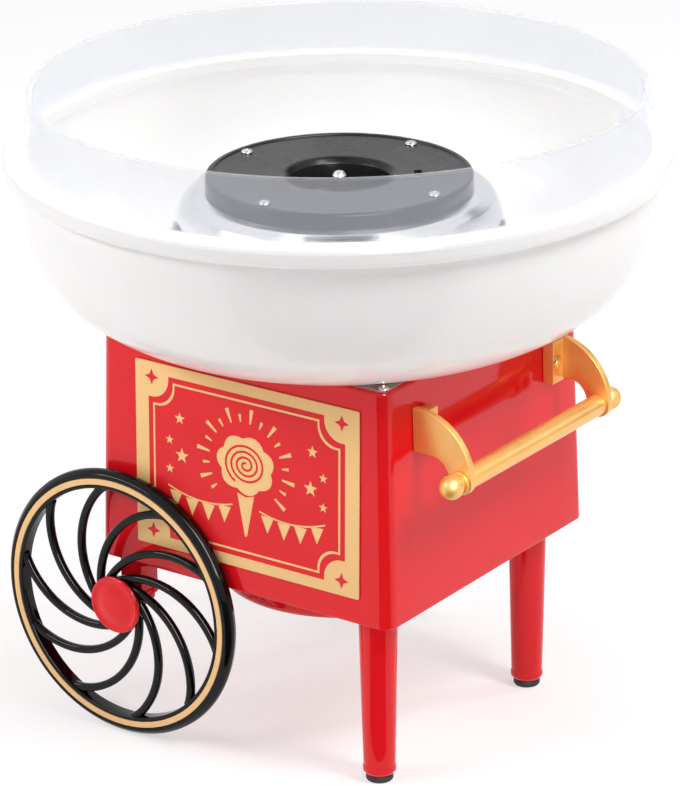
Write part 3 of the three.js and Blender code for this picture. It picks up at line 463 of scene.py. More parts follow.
def make_housing():
    ledge, rim, mouth_r = TOP - PLATE - GAP, 2.2, 63
    foot = rounded([(-WALL, BOTTOM, 0.3), (0, BOTTOM, 0.9), (0, BOTTOM + 8)])
    edge = rounded([(0, TOP - 8), (0, TOP, 1.1), (-rim, TOP, 0.5), (-rim, ledge)])
    loops = [box_loop(grow, z) for grow, z in [*foot, *edge]]
    loops += [circle_loop(mouth_r, ledge), circle_loop(mouth_r, ledge - SHELF), box_loop(-WALL, ledge - SHELF)]
    shell = piece("housing", loft_mesh(loops))
    half_y, half_z = 6.9, 9.9
    window = block((SWITCH_FACE - 2, -half_y, SWITCH_Z - half_z), (SWITCH_FACE + 4, half_y, SWITCH_Z + half_z))
    boolean(shell, [window, peg(4.7, -6, 6, shift(*BUSH_SPOT) @ turn(90, "Y"))])
    dress(shell, RED, "base", "red_plastic", "housing_shell")
    inset, hole_r, bevel, low = rim + GAP, 60, 0.2, TOP - PLATE
    loops = [box_loop(-inset, low), box_loop(-inset, TOP - bevel), box_loop(-inset - bevel, TOP)]
    loops += [circle_loop(hole_r + bevel, TOP), circle_loop(hole_r, TOP - bevel), circle_loop(hole_r, low)]
    plate = piece("top_sheet", loft_mesh(loops))
    dress(plate, SHEET, "base", "plate_steel", "top_plate")


def cross_screw(name, place, length=6.0):
    """A pan-head screw with a cross recess, its head's underside at z = 0."""
    head = rounded([(0, -length), (1.2, -length, 0.4), (1.4, -length + 1), (1.4, 0), (2.6, 0, 0.1), (2.55, 0.5, 0.4),
                    (1.9, 1.12, 0.5), (0, 1.2)], steps=4)
    obj = piece(name, turned_mesh(head, 40), sharp=40)
    tools = []
    for angle in (0, 90):
        bm = slab_mesh([(-1.45, -0.28), (1.45, -0.28), (1.45, 0.28), (-1.45, 0.28)], 0.35, 2.0)
        for v in bm.verts:
            if v.co.z < 1:
                v.co.x *= 0.45
        tools.append(piece("cutter", bm, turn(angle + 22, "Z")))
    boolean(obj, tools, sharp=30)
    obj.data.transform(Matrix.Scale(MM, 4) @ place @ Matrix.Scale(1 / MM, 4))
    return smooth(obj, 30)


def make_plate_screws():
    places = ((1, 1), (-1, 1), (-1, -1), (1, -1))
    for i, (sx, sy) in enumerate(places):
        spot = shift(sx * (HALF_X - 4.6), sy * (HALF_Y - 5.6), TOP + GAP / 2)
        screw = cross_screw(f"corner_screw_{i + 1}", spot @ turn(37 * i, "Z"))
        dress(screw, STEEL, "base", "bright_steel", f"plate_screw_{i + 1}")


def make_bottom():
    low = BOTTOM + GAP
    high = low + 2.4
    cup_low, cup_r, wall = BOTTOM - 17, 56, 2.2
    inner_r = cup_r - wall
    profile = [(0, cup_low), (30, cup_low), (cup_r, cup_low, 5.0), (cup_r, high, 0.3), (inner_r, high, 0.3),
               (inner_r, cup_low + wall, 3.5), (0, cup_low + wall)]
    cup = turned("belly", profile, None, 128, steps=8)
    slot = rounded([(16, -1.5, 1.45), (40, -1.5, 1.45), (40, 1.5, 1.45), (16, 1.5, 1.45)], closed=True)
    boolean(cup, [piece("cutter", slab_mesh(slot, cup_low - 1, cup_low + 3.2), turn(45 * k, "Z")) for k in range(8)])
    soften(cup, 0.3, 2, 40)
    loops = [box_loop(-3.0, low), box_loop(-3.0, high), circle_loop(54.5, high), circle_loop(54.5, low)]
    boolean(cup, [piece("belly_plate", loft_mesh(loops))], "UNION")
    dress(cup, RED, "base", "red_plastic", "bottom_cover")


def make_legs():
    for side, sign in (("front", -1), ("back", 1)):
        place = shift(LEG_X, sign * LEG_Y, 0)
        profile = [(0, 3.2), (6.0, 3.2, 0.5), (7.2, 4.8, 0.6), (7.2, 6.4, 0.5), (6.9, 7.4, 1.0), (7.6, 38),
                   (8.45, BOTTOM), (0, BOTTOM)]
        leg = turned(f"tapered_leg_{side}", profile, place, 64)
        dress(leg, RED, "base", "red_plastic", f"leg_{side}")
        profile = [(0, 0), (3.4, 0.0), (3.6, 0.5), (4.2, 0.5), (4.4, 0.0), (5.3, 0, 0.4), (5.9, 0.8, 0.4),
                   (5.9, 2.9, 0.3), (0, 2.9)]
        foot = turned(f"rubber_foot_{side}", profile, place, 64)
        dress(foot, RUBBER, "base", "rubber", f"foot_{side}")


# Wheels: local +Z points away from the housing and z = 0 is the back face
SPOKE_R, SPOKE_CX, SPOKE_CY = 39.2, 20.2, -22.2


def spoke_path(count=26):
    """An arc from the middle of the rim to the wheel's axis."""
    reach, height = 53.6, 3.9
    offset = hypot(SPOKE_CX, SPOKE_CY)
    outer = acos((reach ** 2 - offset ** 2 - SPOKE_R ** 2) / (2 * SPOKE_R * offset))
    start = atan2(SPOKE_CY, SPOKE_CX) + outer
    end = pi - acos(SPOKE_CX / SPOKE_R)
    points = []
    for k in range(count):
        angle = start + (end - start) * k / (count - 1)
        points.append(Vector((SPOKE_CX + SPOKE_R * cos(angle), SPOKE_CY + SPOKE_R * sin(angle), height)))
    return points


def spoke_section(share, count=14):
    """A squarish round section that is wider where the spoke meets the rim."""
    half_w, half_h, power = 1.8, 1.9, 0.8
    flare = 1 + 0.3 * exp(-(share * 62) / 3.0)
    points = []
    for k in range(count):
        angle = 2 * pi * k / count
        c, s = cos(angle), sin(angle)
        across, up = copysign(abs(c) ** power, c), copysign(abs(s) ** power, s)
        points.append((half_w * flare * across, half_h * up))
    return points


def make_wheel(side, sign):
    place = shift(WHEEL_X, sign * WHEEL_BACK, WHEEL_Z) @ turn(180 if sign > 0 else 0, "Z") @ turn(90, "X")
    rim = rounded([(52.6, 0, 0.7), (59.9, 0, 1.2), (WHEEL_R, 3.0, 1.4), (60.7, 4.8, 1.8), (58.9, 6.6, 1.3),
                   (57.4, 6.6, 0.15), (57.4, 5.7), (54.2, 5.7), (54.2, 6.6, 0.15), (52.6, 6.6, 0.7)], closed=True)
    bm = turned_mesh(rim, 160, closed=True)
    hub = rounded([(BORE_R, 1.4, 0.2), (11.5, 1.4, 0.5), (11.5, 5.8, 0.4), (BORE_R, 5.8, 0.2)], closed=True)
    merge(bm, turned_mesh(hub, 64, closed=True))
    for k in range(10):
        merge(bm, tube_mesh(spoke_path(), spoke_section), turn(26.4 + 36 * k, "Z"))
    wheel = piece(f"spoked_wheel_{side}", bm, place, 36)
    dress(wheel, BLACK, f"{side}_wheel", "black_plastic", f"wheel_{side}")
    profile = [(54.5, 6.0), (57.1, 6.0), (57.1, 6.7, 0.12), (54.5, 6.7, 0.12)]
    inlay = turned(f"gold_ring_{side}", profile, place, 160, True)
    dress(inlay, INLAY, f"{side}_wheel", "gold_inlay", f"wheel_inlay_{side}")
    profile = [(0, 6.1), (12.3, 6.1, 0.4), (12.9, 6.9, 0.5), (12.9, 7.9, 0.9), (11.7, 8.65, 0.8), (10.5, 8.0, 0.6),
               (9.0, 8.05, 1.5), (5, 9.2, 8), (0, 9.65)]
    cap = turned(f"hub_button_{side}", profile, place, 72)
    dress(cap, RED, f"{side}_wheel", "red_plastic", f"hub_cap_{side}")


def make_wheel_pins():
    axis = shift(WHEEL_X, 0, WHEEL_Z)
    half_w, top = 5.6, BOTTOM - WHEEL_Z
    outline = rounded([(-half_w, top), (-half_w, -0.8, 0.6), (half_w, -0.8, 0.6), (half_w, top - 2.9, 0.8),
                       (15.4, top - 0.4), (15.4, top)], closed=True)
    for side, sign, node in (("front", -1, "axle"), ("back", 1, "axle_back")):
        outward = axis @ turn(-90 * sign, "X")
        pin_low, pin_high = 66, WHEEL_FRONT - 1.1
        profile = [(0, pin_low), (PIN_R, pin_low, 0.4), (PIN_R, pin_high, 0.5), (0, pin_high)]
        pin = turned(f"wheel_pin_{side}", profile, outward, 48)
        dress(pin, STEEL, "base", "bright_steel", node)
        ends = (61, 72.5) if sign < 0 else (-72.5, -61)
        lug = piece(f"wheel_lug_{side}", slab_mesh(outline, *ends, 0.5, 3), axis @ turn(90, "X"))
        boss_low, boss_high, boss_r = 64, WHEEL_BACK - 1.2, 6.2
        profile = [(0, boss_low), (boss_r, boss_low), (boss_r, boss_high, 0.7), (0, boss_high)]
        boolean(lug, [turned("boss", profile, outward, 48)], "UNION")
        boolean(lug, [peg(BORE_R, pin_low - GAP, 80, outward, 48)])
        dress(lug, RED, "base", "red_plastic", f"axle_bearing_{side}")


# Handle
def make_handle():
    flange_z, flange_half, inner = BAR_Z + 7.6, 9.5, ARM_Y - ARM
    face = HALF_X + draft_at(flange_z + flange_half) + GAP + 5.2
    arc_x, arc_r, lobe, inner_r = 75.5, 27.8, 5.6, 8.8
    inner_x = BAR_X - lobe - inner_r
    ball_r, neck_r, neck = 5.2, 2.94, 1.9
    centre = neck + sqrt(ball_r ** 2 - neck_r ** 2)
    first = atan2(neck - centre, neck_r)
    for side, sign in (("front", -1), ("back", 1)):
        outline = [(HALF_X - 1, BAR_Z + arc_r), (arc_x, BAR_Z + arc_r)]
        outline += [(arc_x + arc_r * sin(a), BAR_Z + arc_r * cos(a))
                    for a in (pi / 2 * k / 28 for k in range(1, 29))]
        outline += [(BAR_X + lobe * cos(a), BAR_Z - lobe * sin(a))
                    for a in (pi * k / 20 for k in range(1, 21))]
        outline += [(inner_x + inner_r * cos(a), BAR_Z + inner_r * sin(a))
                    for a in (pi / 2 * k / 14 for k in range(1, 15))]
        outline += [(HALF_X - 1, BAR_Z + inner_r)]
        low, high = sorted((sign * inner, sign * ARM_Y))
        upright = Matrix(((1, 0, 0, 0), (0, 0, 1, 0), (0, 1, 0, 0), (0, 0, 0, 1)))
        arm = piece(f"cast_bracket_{side}", slab_mesh(outline, low, high), upright)
        ends = sorted((sign * (inner + 1), sign * (inner - 7.4)))
        flange = block((HALF_X - 2, ends[0], flange_z), (face, ends[1], flange_z + 2 * flange_half))
        boolean(arm, [flange], "UNION")
        boolean(arm, [piece("cutter", loft_mesh([box_loop(GAP, BOTTOM), box_loop(GAP, TOP + 1)], False, True))])
        soften(arm, 0.45, 3, 40)
        spot = shift(face, sign * (inner - 4.0), flange_z + flange_half) @ turn(90, "Y")
        sink = 2.4
        boolean(arm, [peg(3.3, -sink, 3, spot, 48), peg(SCREW_BORE_R, -12, 1, spot, 32)])
        soften(arm, 0.12, 2, 60)
        dress(arm, GOLD, "base", "gold_paint", f"handle_bracket_{side}")
        screw = cross_screw(f"bracket_screw_{side}", spot @ shift(0, 0, GAP / 2 - sink), 8)
        dress(screw, STEEL, "base", "bright_steel", f"handle_screw_{side}")
        ball = [(0, 0.3), (4.9, 0.3, 0.3), (4.9, 1.5, 0.4), (neck_r, neck, 0.3)]
        ball += [(ball_r * cos(a), centre + ball_r * sin(a)) for a in
                 (first + (pi / 2 - first) * k / 18 for k in range(1, 18))]
        ball += [(0, centre + ball_r)]
        place = shift(BAR_X, sign * ARM_Y, BAR_Z) @ turn(-90 * sign, "X")
        dress(turned(f"ball_end_{side}", ball, place, 56), GOLD, "base", "gold_paint", f"handle_ball_{side}")
    half = inner - GAP
    profile = [(0, -half), (BAR_R, -half, 0.35), (BAR_R, half, 0.35), (0, half)]
    bar = turned("grip_bar", profile, shift(BAR_X, 0, BAR_Z) @ turn(90, "X"), 64)
    dress(bar, GOLD, "base", "gold_paint", "handle_bar")


# Label panel and its generic ornament
LABEL_X, LABEL_Z = 3.5, 132.0
LABEL_W, LABEL_H = 116.0, 83.0
FIELD, INK = (0.0, 0.05), (0.04, 0.1)
FLOSS = Vector((0, 5.5))


def label_place():
    """The panel's face: local x runs along the panel, local y up it and local z out of it."""
    lean = atan(DRAFT)
    y = -(HALF_Y + draft_at(LABEL_Z) + 0.9)
    return Matrix(((1, 0, 0, LABEL_X), (0, sin(lean), -cos(lean), y), (0, cos(lean), sin(lean), LABEL_Z),
                   (0, 0, 0, 1)))


def plaque(half_w, half_h, scoop, shoulder):
    """A ticket outline: concave corners with small square shoulders."""
    points = []
    for sx, sy, first in ((1, 1, False), (-1, 1, True), (-1, -1, False), (1, -1, True)):
        cx, cy = sx * half_w, sy * half_h
        arc = [Vector((cx - sx * shoulder - sx * scoop * sin(a), cy - sy * shoulder - sy * scoop * cos(a)))
               for a in (pi / 2 * k / 14 for k in range(15))]
        arc = [Vector((cx, cy - sy * (scoop + shoulder))), *arc, Vector((cx - sx * (scoop + shoulder), cy))]
        points += arc[::-1] if first else arc
    return points


def band_mesh(outer, inner, low, high):
    """A flat frame between two outlines of equal length."""
    loops = [[Vector((p.x, p.y, z)) for p in line] for line, z in
             ((outer, low), (outer, high), (inner, high), (inner, low))]
    return loft_mesh(loops)


def star(x, y, r, points=5):
    """A star's outline. Its inner corners lie at 0.42 of its radius."""
    out = []
    for k in range(points * 2):
        a = pi / 2 + pi * k / points
        size = r if k % 2 == 0 else r * 0.42
        out.append(Vector((x + size * cos(a), y + size * sin(a))))
    return out


def floss_point(r, angle):
    """A point of the floss cloud, which is a little wider than high."""
    return Vector((r * cos(angle) * 1.04, FLOSS.y + r * sin(angle) * 0.92))


def garland(sx, t):
    """A point of the cord that the pennants hang from, at the share t of its length."""
    return Vector((sx * (7 + 34 * t), -13.5 - 12 * t * (1 - t) + 1.5 * t, 0.07))


def tape_mesh(path, half_w, half_h=0.03):
    section = [(-half_w, -half_h), (half_w, -half_h), (half_w, half_h), (-half_w, half_h)]
    return tube_mesh(path, lambda share: section)


def make_label():
    panel = slab_mesh(rectangle(LABEL_W / 2, LABEL_H / 2, 0.8), -0.58, 0, 0.12, 2)
    dress(piece("label_sheet", panel, label_place()), CREAM, "base", "label_print", "label_panel")
    scoop, shoulder = 9, 1.6
    bm = slab_mesh(plaque(51, 36.5, scoop, shoulder), *FIELD)
    for sx in (-1, 1):
        for sy in (-1, 1):
            merge(bm, slab_mesh(star(sx * 49.3, sy * 34.8, 3.6, 4), *FIELD))
    dress(piece("label_field", bm, label_place()), PRINT, "base", "label_print")
    bm = band_mesh(plaque(48.6, 34.1, scoop, shoulder), plaque(47.7, 33.2, scoop, shoulder), *INK)
    for k in range(24):
        a = radians(15 * k + 7.5)
        if sin(a) < -0.62:
            continue
        along = Vector((cos(a), sin(a)))
        side = Vector((-along.y, along.x))
        near, far, w = (19.0, 25.5, 0.95) if k % 2 else (19.0, 22.5, 0.7)
        low, high = FLOSS + along * near, FLOSS + along * far
        merge(bm, slab_mesh([low - side * w * 0.4, high - side * w, high + side * w, low + side * w * 0.4], *INK))
    angles = [2 * pi * k / 96 for k in range(96)]
    cloud = [floss_point(12.6 + 1.9 * abs(sin(3.5 * a + 0.4)), a) for a in angles]
    cone = [(-4.4, -7.6), (-0.5, -26.5), (0.5, -26.5), (4.4, -7.6), (0, -8.8)]
    for outline in (cloud, cone):
        merge(bm, slab_mesh(outline, *INK))
    for sx in (-1, 1):
        for x, y, r in ((34.5, 19, 2.8), (40, 8.5, 2.2), (33.5, 2.5, 3.6), (40, -4.5, 2.2)):
            merge(bm, slab_mesh(star(sx * x, y, r), *INK))
        merge(bm, tape_mesh([garland(sx, k / 16) for k in range(17)], 0.35))
        for k in range(4):
            hook = garland(sx, (k + 0.5) / 4)
            merge(bm, slab_mesh([(hook.x + x, hook.y + y) for x, y in ((-3.3, -0.5), (0, -8), (3.3, -0.5))], *INK))
    dress(piece("label_ornament", bm, label_place()), CREAM, "base", "label_print")
    turns = [(0.8 + 9.6 * k / 120, radians(70 + 10.5 * k)) for k in range(120)]
    swirl = tape_mesh([Vector((*floss_point(r, a), 0.12)) for r, a in turns], 0.5)
    dress(piece("label_swirl", swirl, label_place()), PRINT, "base", "label_print")


# Bowl and splash guard
def bezier(t, points):
    """A cubic curve's point at t."""
    u = 1 - t
    weights = (u ** 3, 3 * t * u * u, 3 * t * t * u, t ** 3)
    return (sum(w * p[0] for w, p in zip(weights, points)), sum(w * p[1] for w, p in zip(weights, points)))


def make_bowl():
    z, wall, step = BOWL_Z, 2.4, 0.004
    ctrl = [(95.6, z + 1.8), (124.7, z + 13.9), (134.5, z + 28.7), (135.9, z + 67.7)]
    count = 36
    outer = [bezier(k / (count - 1), ctrl) for k in range(count)]
    inner = []
    for k in range(count):
        a = bezier(max(0, k / (count - 1) - step), ctrl)
        b = bezier(min(1, k / (count - 1) + step), ctrl)
        along = Vector((b[0] - a[0], b[1] - a[1])).normalized()
        inner.append((outer[k][0] - along.y * wall, outer[k][1] + along.x * wall))
    profile = [(71, z, 0.5), (86, z, 4), *outer[:-1], (135.9, z + 67.4, 0.4),
               (139.9, z + 67.4, 0.7), (141.7, z + 69.2, 1.6), (142.1, z + 73.6, 2.4), (141.6, z + 75.8, 1.8),
               (139.0, z + 76.6, 2.6), (136.6, z + 76.5, 1.0), (135.1, z + 76.2, 0.4), (134.8, z + 75.9, 0.2),
               (132.4, z + 75.9, 0.1), (132.4, z + 71.4, 0.2), *inner[::-1], (86, z + wall, 4), (80.8, z + wall, 6.5),
               (73.7, z + wall + 7, 7), (73.2, z + 35.4, 0.5), (72.1, z + 36, 0.5), (71, z + 35.4, 0.5)]
    bowl = turned("white_bowl", profile, None, 200, True, 6, 50)
    dress(bowl, WHITE, "bowl", "white_plastic", "bowl")
    low, skirt = z + 76 + GAP, 5.9
    top = low + 25.4
    guard = [(132.1, low - skirt, 0.3), (132.1, low, 0.1), (134.4, low, 0.3), (130.4, top - 1.1, 0.3),
             (130.9, top - 0.4, 0.4), (130.1, top, 0.5), (128.9, top - 0.1, 0.5), (128.4, top - 1.2, 0.8),
             (130.8, low + 1, 3), (130.4, low - skirt, 0.3)]
    shield = turned("clear_shield", guard, None, 200, True, 4, 50)
    shield.visible_shadow = False
    dress(shield, CLEAR, "guard", "clear_plastic", "splash_guard")
    shield.data.materials.append(SEAT)
    for face in shield.data.polygons:
        face.material_index = int(face.center.z < low * MM)


# Heater: a ring of tube whose two ends turn down through the floor of the pan
ELEMENT_R, TUBE_R, STEM_R = 46.0, 3.2, 1.9


def element_point(angle, z):
    return Vector((ELEMENT_R * cos(angle), ELEMENT_R * sin(angle), z))


def make_heater():
    floor, rim, low = TOP + 20, TOP + 37.5, TOP + GAP
    sheet, inner_r, outer_r = 1.2, 66.5, 68
    top = floor + sheet
    pan = rounded([(8, floor, 0.3), (inner_r, floor, 0.8), (inner_r, low), (outer_r, low), (outer_r, rim, 0.6),
                   (inner_r, rim, 0.6), (inner_r, top, 1.5), (52, top, 0.6), (51.4, floor + 0.7, 0.5),
                   (50.8, top, 0.6), (8, top, 0.3)], closed=True)
    obj = piece("heater_well", turned_mesh(pan, 128, closed=True), None, 40)
    half_gap = radians(13)
    spots = [element_point(sign * half_gap, 0) for sign in (1, -1)]
    boolean(obj, [peg(2.62, floor - 1, floor + 3, shift(*spot)) for spot in spots])
    dress(obj, PAN, "base", "pressed_aluminium", "heater_pan")
    z, bend = TOP + 31, 4.6
    stem = [(half_gap, h) for h in (z - 18, z - 12, z - 8, z - bend)]
    for a in (pi / 2 * k / 8 for k in range(1, 8)):
        stem.append((half_gap + bend / ELEMENT_R * (1 - cos(a)), z - bend + bend * sin(a)))
    first = half_gap + bend / ELEMENT_R
    ring = [(first + (2 * pi - 2 * first) * k / 120, z) for k in range(121)]
    path = [element_point(angle, h) for angle, h in [*stem, *ring, *((-angle, h) for angle, h in stem[::-1])]]
    loops = []
    for i, point in enumerate(path):
        radial = Vector((point.x, point.y, 0)).normalized()
        other = tangent(path, i).cross(radial).normalized()
        radius = STEM_R + (TUBE_R - STEM_R) * min(1.0, max(0.0, (point.z - (z - 7)) / 6))
        loops.append([point + (radial * cos(a) + other * sin(a)) * radius
                      for a in (2 * pi * k / 16 for k in range(16))])
    coil = piece("heater_coil", loft_mesh(loops, False, True), None, 50)
    dress(coil, COIL, "base", "bright_steel", "heating_element")
    height = z - TUBE_R - 2 * GAP - top
    profile = [(0, 0), (4, 0, 0.4), (4, height, 0.5), (2.4, height, 0.3), (2.2, height - 0.8), (0, height - 0.8)]
    for i in range(3):
        spot = element_point(pi / 3 + i * 2 * pi / 3, top + GAP)
        post = turned(f"ceramic_post_{i + 1}", profile, shift(*spot), 32)
        dress(post, CERAMIC, "base", "ceramic", f"element_post_{i + 1}")
    profile = [(0, -6), (5, -6, 0.4), (5, -4.6, 0.2), (8, -4.6, 0.5), (8, 0, 0.3), (0, 0)]
    switch = turned("thermostat_disc", profile, shift(-27, 0, floor - GAP), 48)
    dress(switch, CERAMIC, "base", "ceramic", "thermostat")


# Sugar head
def cover_spots():
    """The places of the four cover screws."""
    circle_r, first = 50.4, -2.6
    angles = [radians(first + 90 * i) for i in range(4)]
    return [(circle_r * cos(angle), circle_r * sin(angle)) for angle in angles]


def make_head_cover():
    seat, well = COVER_SEAT, COVER_TOP - 13.5
    cover = [(20.6, well, 0.3), (22.4, well, 0.3), (22.8, COVER_LOW, 0.3), (COVER_R, COVER_LOW, 0.4),
             (COVER_R, COVER_TOP, 1.3), (54.4, COVER_TOP, 0.6), (54.0, seat, 0.5), (24.0, seat, 2.4),
             (22.0, seat - 2.4, 1.2)]
    obj = turned("head_lid", cover, None, 160, True, 6)
    tools = [peg(SCREW_BORE_R, COVER_LOW - 2, seat + 1, shift(x, y)) for x, y in cover_spots()]
    slot = slab_mesh(rectangle(4.2, 1.6, 1.0), seat - 1.2, seat + 1)
    tools.append(piece("cutter", slot, shift(27.5, 19) @ turn(127, "Z")))
    boolean(obj, tools)
    dress(obj, COVER, "head", "black_plastic", "head_cover")


def make_head_shell():
    top = HEAD_TOP
    shell = [(23.2, top - 1), (57.8, top - 1, 2), (62.2, top - 2.3, 3), (66.5, top - 5.8, 3),
             (HEAD_R - 1, HEAD_EDGE, 0.2), (HEAD_R, HEAD_EDGE, 0.3), (68.6, top - 7.2, 3), (66.0, top - 3.2, 3),
             (61.8, top - 0.7, 3), (58.0, top, 1.0), (23.2, top)]
    obj = turned("head_dome", shell, None, 160, True, 6, 40)
    boolean(obj, [peg(SCREW_BORE_R, top - 3, top + 2, shift(x, y)) for x, y in cover_spots()], sharp=40)
    dress(obj, ALU, "head", "pressed_aluminium", "head_shell")


def make_head_floor():
    """A slotted floor with four posts, which the cover's screws go into."""
    low, high, rim = HEAD_FLOOR, FLOOR_TOP, HEAD_R - 1.4
    lip = low + 1.8
    floor = [(5, low, 0.1), (rim, low, 0.6), (rim + 0.9, lip, 0.2), (rim - 0.5, lip, 0.2), (rim - 1.2, high, 0.3),
             (5, high, 0.1)]
    obj = turned("head_base", floor, None, 160, True, sharp=40)
    post_r, post_low, post_high, bore_low = 3.4, low + 0.2, HEAD_TOP - 1.3, low + 3.2
    post = rounded([(0, post_low), (post_r, post_low), (post_r, post_high, 0.3), (SCREW_BORE_R, post_high),
                    (SCREW_BORE_R, bore_low), (0, bore_low)])
    posts = [piece("post", turned_mesh(post, 32), shift(x, y)) for x, y in cover_spots()]
    boolean(obj, posts, "UNION", 40)
    tools = [peg(7.3, low - 1, high + 1, None, 48)]
    slot = [(rim - 7, -0.8), (rim - 2.2, -0.8), (rim - 2.2, 0.8), (rim - 7, 0.8)]
    for k in range(20):
        tools.append(piece("cutter", slab_mesh(slot, low - 1, high + 1), turn(18 * (k + 0.5), "Z")))
    boolean(obj, tools, sharp=40)
    dress(obj, ALU, "head", "pressed_aluminium", "head_floor")


def make_head_hub():
    high, hub_top = FLOOR_TOP, HUB_LOW + 10
    hub = [(BORE_R, HUB_LOW, 0.3), (7, HUB_LOW, 0.5), (7, high), (9.4, high + GAP, 0.2), (9.4, high + 1.4, 0.4),
           (6, high + 2, 0.4), (5, hub_top, 0.5), (BORE_R, hub_top, 0.3)]
    obj = turned("hub_bush", hub, None, 56, True, sharp=40)
    slot = block((-CROSS_SLOT, -8, HUB_LOW - 1), (CROSS_SLOT, 8, CROSS_PIN_Z + CROSS_SLOT))
    boolean(obj, [slot], sharp=40)
    dress(obj, BRASS, "head", "brass", "head_hub")


def make_cover_screws():
    for i, (x, y) in enumerate(cover_spots()):
        screw = cross_screw(f"lid_screw_{i + 1}", shift(x, y, COVER_SEAT + GAP / 2) @ turn(40 * i + 11, "Z"), 16)
        dress(screw, STEEL, "head", "bright_steel", f"cover_screw_{i + 1}")


def make_drive():
    bracket_height = 12
    motor_top = TOP - PLATE - GAP - SHELF - GAP - bracket_height - GAP
    low, top = motor_top - 34, COVER_TOP + 0.6
    profile = [(0, low), (PIN_R, low, 0.4), (PIN_R, top - 1.9, 1.2), (1.9, top - 0.25, 1.4), (0, top)]
    shaft = turned("drive_shaft", profile, None, 48)
    across, half = shift(0, 0, CROSS_PIN_Z) @ turn(90, "X"), 6
    boolean(shaft, [peg(CROSS_PIN_R + 0.12, -half, half, across, 32)])
    dress(shaft, STEEL, "spindle", "bright_steel", "motor_shaft")
    profile = [(0, -half), (CROSS_PIN_R, -half, 0.3), (CROSS_PIN_R, half, 0.3), (0, half)]
    pin = turned("cross_pin", profile, across, 32)
    dress(pin, STEEL, "spindle", "bright_steel", "drive_pin")
    base, can_r, groove_r = motor_top - 42, 24, 23.6
    profile = [(0, base - 3), (9, base - 3, 0.6), (9, base, 0.5), (22, base, 0.8), (can_r, base + 2, 0.8),
               (can_r, base + 8, 0.4), (groove_r, base + 8.6, 0.2), (groove_r, base + 10, 0.2),
               (can_r, base + 10.6, 0.4), (can_r, motor_top, 0.8), (BORE_R, motor_top), (BORE_R, low - 1),
               (0, low - 1)]
    can = turned("motor_body", profile, None, 72)
    dress(can, MOTOR, "base", "plate_steel", "motor")
    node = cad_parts["motor_bracket"]
    node.data.materials.clear()
    node.data.materials.append(SHEET)


# Rocker switch and cord bush
def make_switch():
    place = shift(SWITCH_FACE, 0, SWITCH_Z) @ turn(-90 + DRAFT_DEGREES, "Y")
    obj = piece("switch_bezel", slab_mesh(rectangle(11, 8, 1.6), 0.3, 1.8, 0.5, 3), place)
    boolean(obj, [piece("cutter", slab_mesh(rectangle(9.5, 6.5, 0.6), -12, 0.9), place)], "UNION")
    boolean(obj, [piece("cutter", slab_mesh(rectangle(8.3, 5.3, 0.5), -10.8, 3), place)])
    dress(obj, BLACK, "base", "black_plastic", "switch_frame")
    reach, half, tilt, edge, valley, power = 7.9, 4.9, 7, 1.8, 2.28, 1.5
    rise = edge + 2 * reach * tan(radians(tilt)) - valley

    def crown(share):
        """The height of the rocker's hollow top at a share of its reach."""
        return valley + rise * abs(share) ** power

    side = [(reach * k / 4, crown(k / 4)) for k in range(-4, 5)]
    side += [(reach * share, low) for share, low in ((0.96, -0.8), (0.35, -3.4), (-0.35, -3.4), (-0.96, -0.8))]
    tilted = place @ turn(tilt, "Y")
    rocker = piece("rocker_paddle", slab_mesh(side, -half, half, 0.35, 2), tilted @ turn(90, "X"))
    dress(rocker, RED, "rocker", "red_plastic", "rocker_switch")
    bar = slab_mesh([(1.3, -0.3), (1.3, 0.3), (-1.3, 0.3), (-1.3, -0.3)], -0.1, 0.04)
    ring = turned_mesh([(0.85, -0.1), (1.4, -0.1), (1.4, 0.04), (0.85, 0.04)], 32, True)
    for name, share, bm in (("on_mark", 0.6, bar), ("off_mark", -0.6, ring)):
        slope = rise * power * abs(share) ** (power - 1) / reach
        lean = degrees(atan(slope)) * copysign(1, share)
        mark = piece(name, bm, tilted @ shift(share * reach, 0, crown(share)) @ turn(-lean, "Y"))
        dress(mark, WHITE, "rocker", "white_plastic")
    profile = [(2.6, -9, 0.3), (4.4, -9, 0.5), (4.4, 0.3), (6.4, 0.3, 0.3), (6.4, 2.2, 0.7), (4.0, 4.6, 0.8),
               (2.6, 4.6, 0.6)]
    bush = turned("cord_grommet", profile, shift(*BUSH_SPOT) @ turn(-90, "Y"), 56, True)
    dress(bush, RUBBER, "base", "black_plastic", "cord_bush")


make_housing()
make_plate_screws()
make_bottom()
make_legs()
make_wheel("front", -1)
make_wheel("back", 1)
make_wheel_pins()
make_handle()
make_label()
make_bowl()
make_heater()
make_head_cover()
make_head_shell()
make_head_floor()
make_head_hub()
make_cover_screws()
make_drive()
make_switch()


# Camera, solved against points of the photograph
def make_camera():
    azimuth, elevation, roll = (radians(v) for v in (35.654, 21.002, 0.806))
    distance, focal, side, height = 1766.12, 4086.18, -1.004, 145.172
    sensor, photo_height = 36, 786
    back = Vector((sin(azimuth) * cos(elevation), -cos(azimuth) * cos(elevation),
                   sin(elevation)))
    right = Vector((cos(azimuth), sin(azimuth), 0))
    up = back.cross(right)
    right_r = right * cos(roll) - up * sin(roll)
    up_r = up * cos(roll) + right * sin(roll)
    spot = Vector((0, 0, height)) + right * side + back * distance
    data = bpy.data.cameras.new("camera")
    data.sensor_width = sensor
    data.lens = focal * sensor / photo_height
    data.clip_start, data.clip_end = 0.05, 60
    camera = bpy.data.objects.new("camera", data)
    bpy.context.scene.collection.objects.link(camera)
    rows = [(right_r[i], up_r[i], back[i], spot[i] * MM) for i in range(3)]
    camera.matrix_world = Matrix((*rows, (0, 0, 0, 1)))
    bpy.context.scene.camera = camera


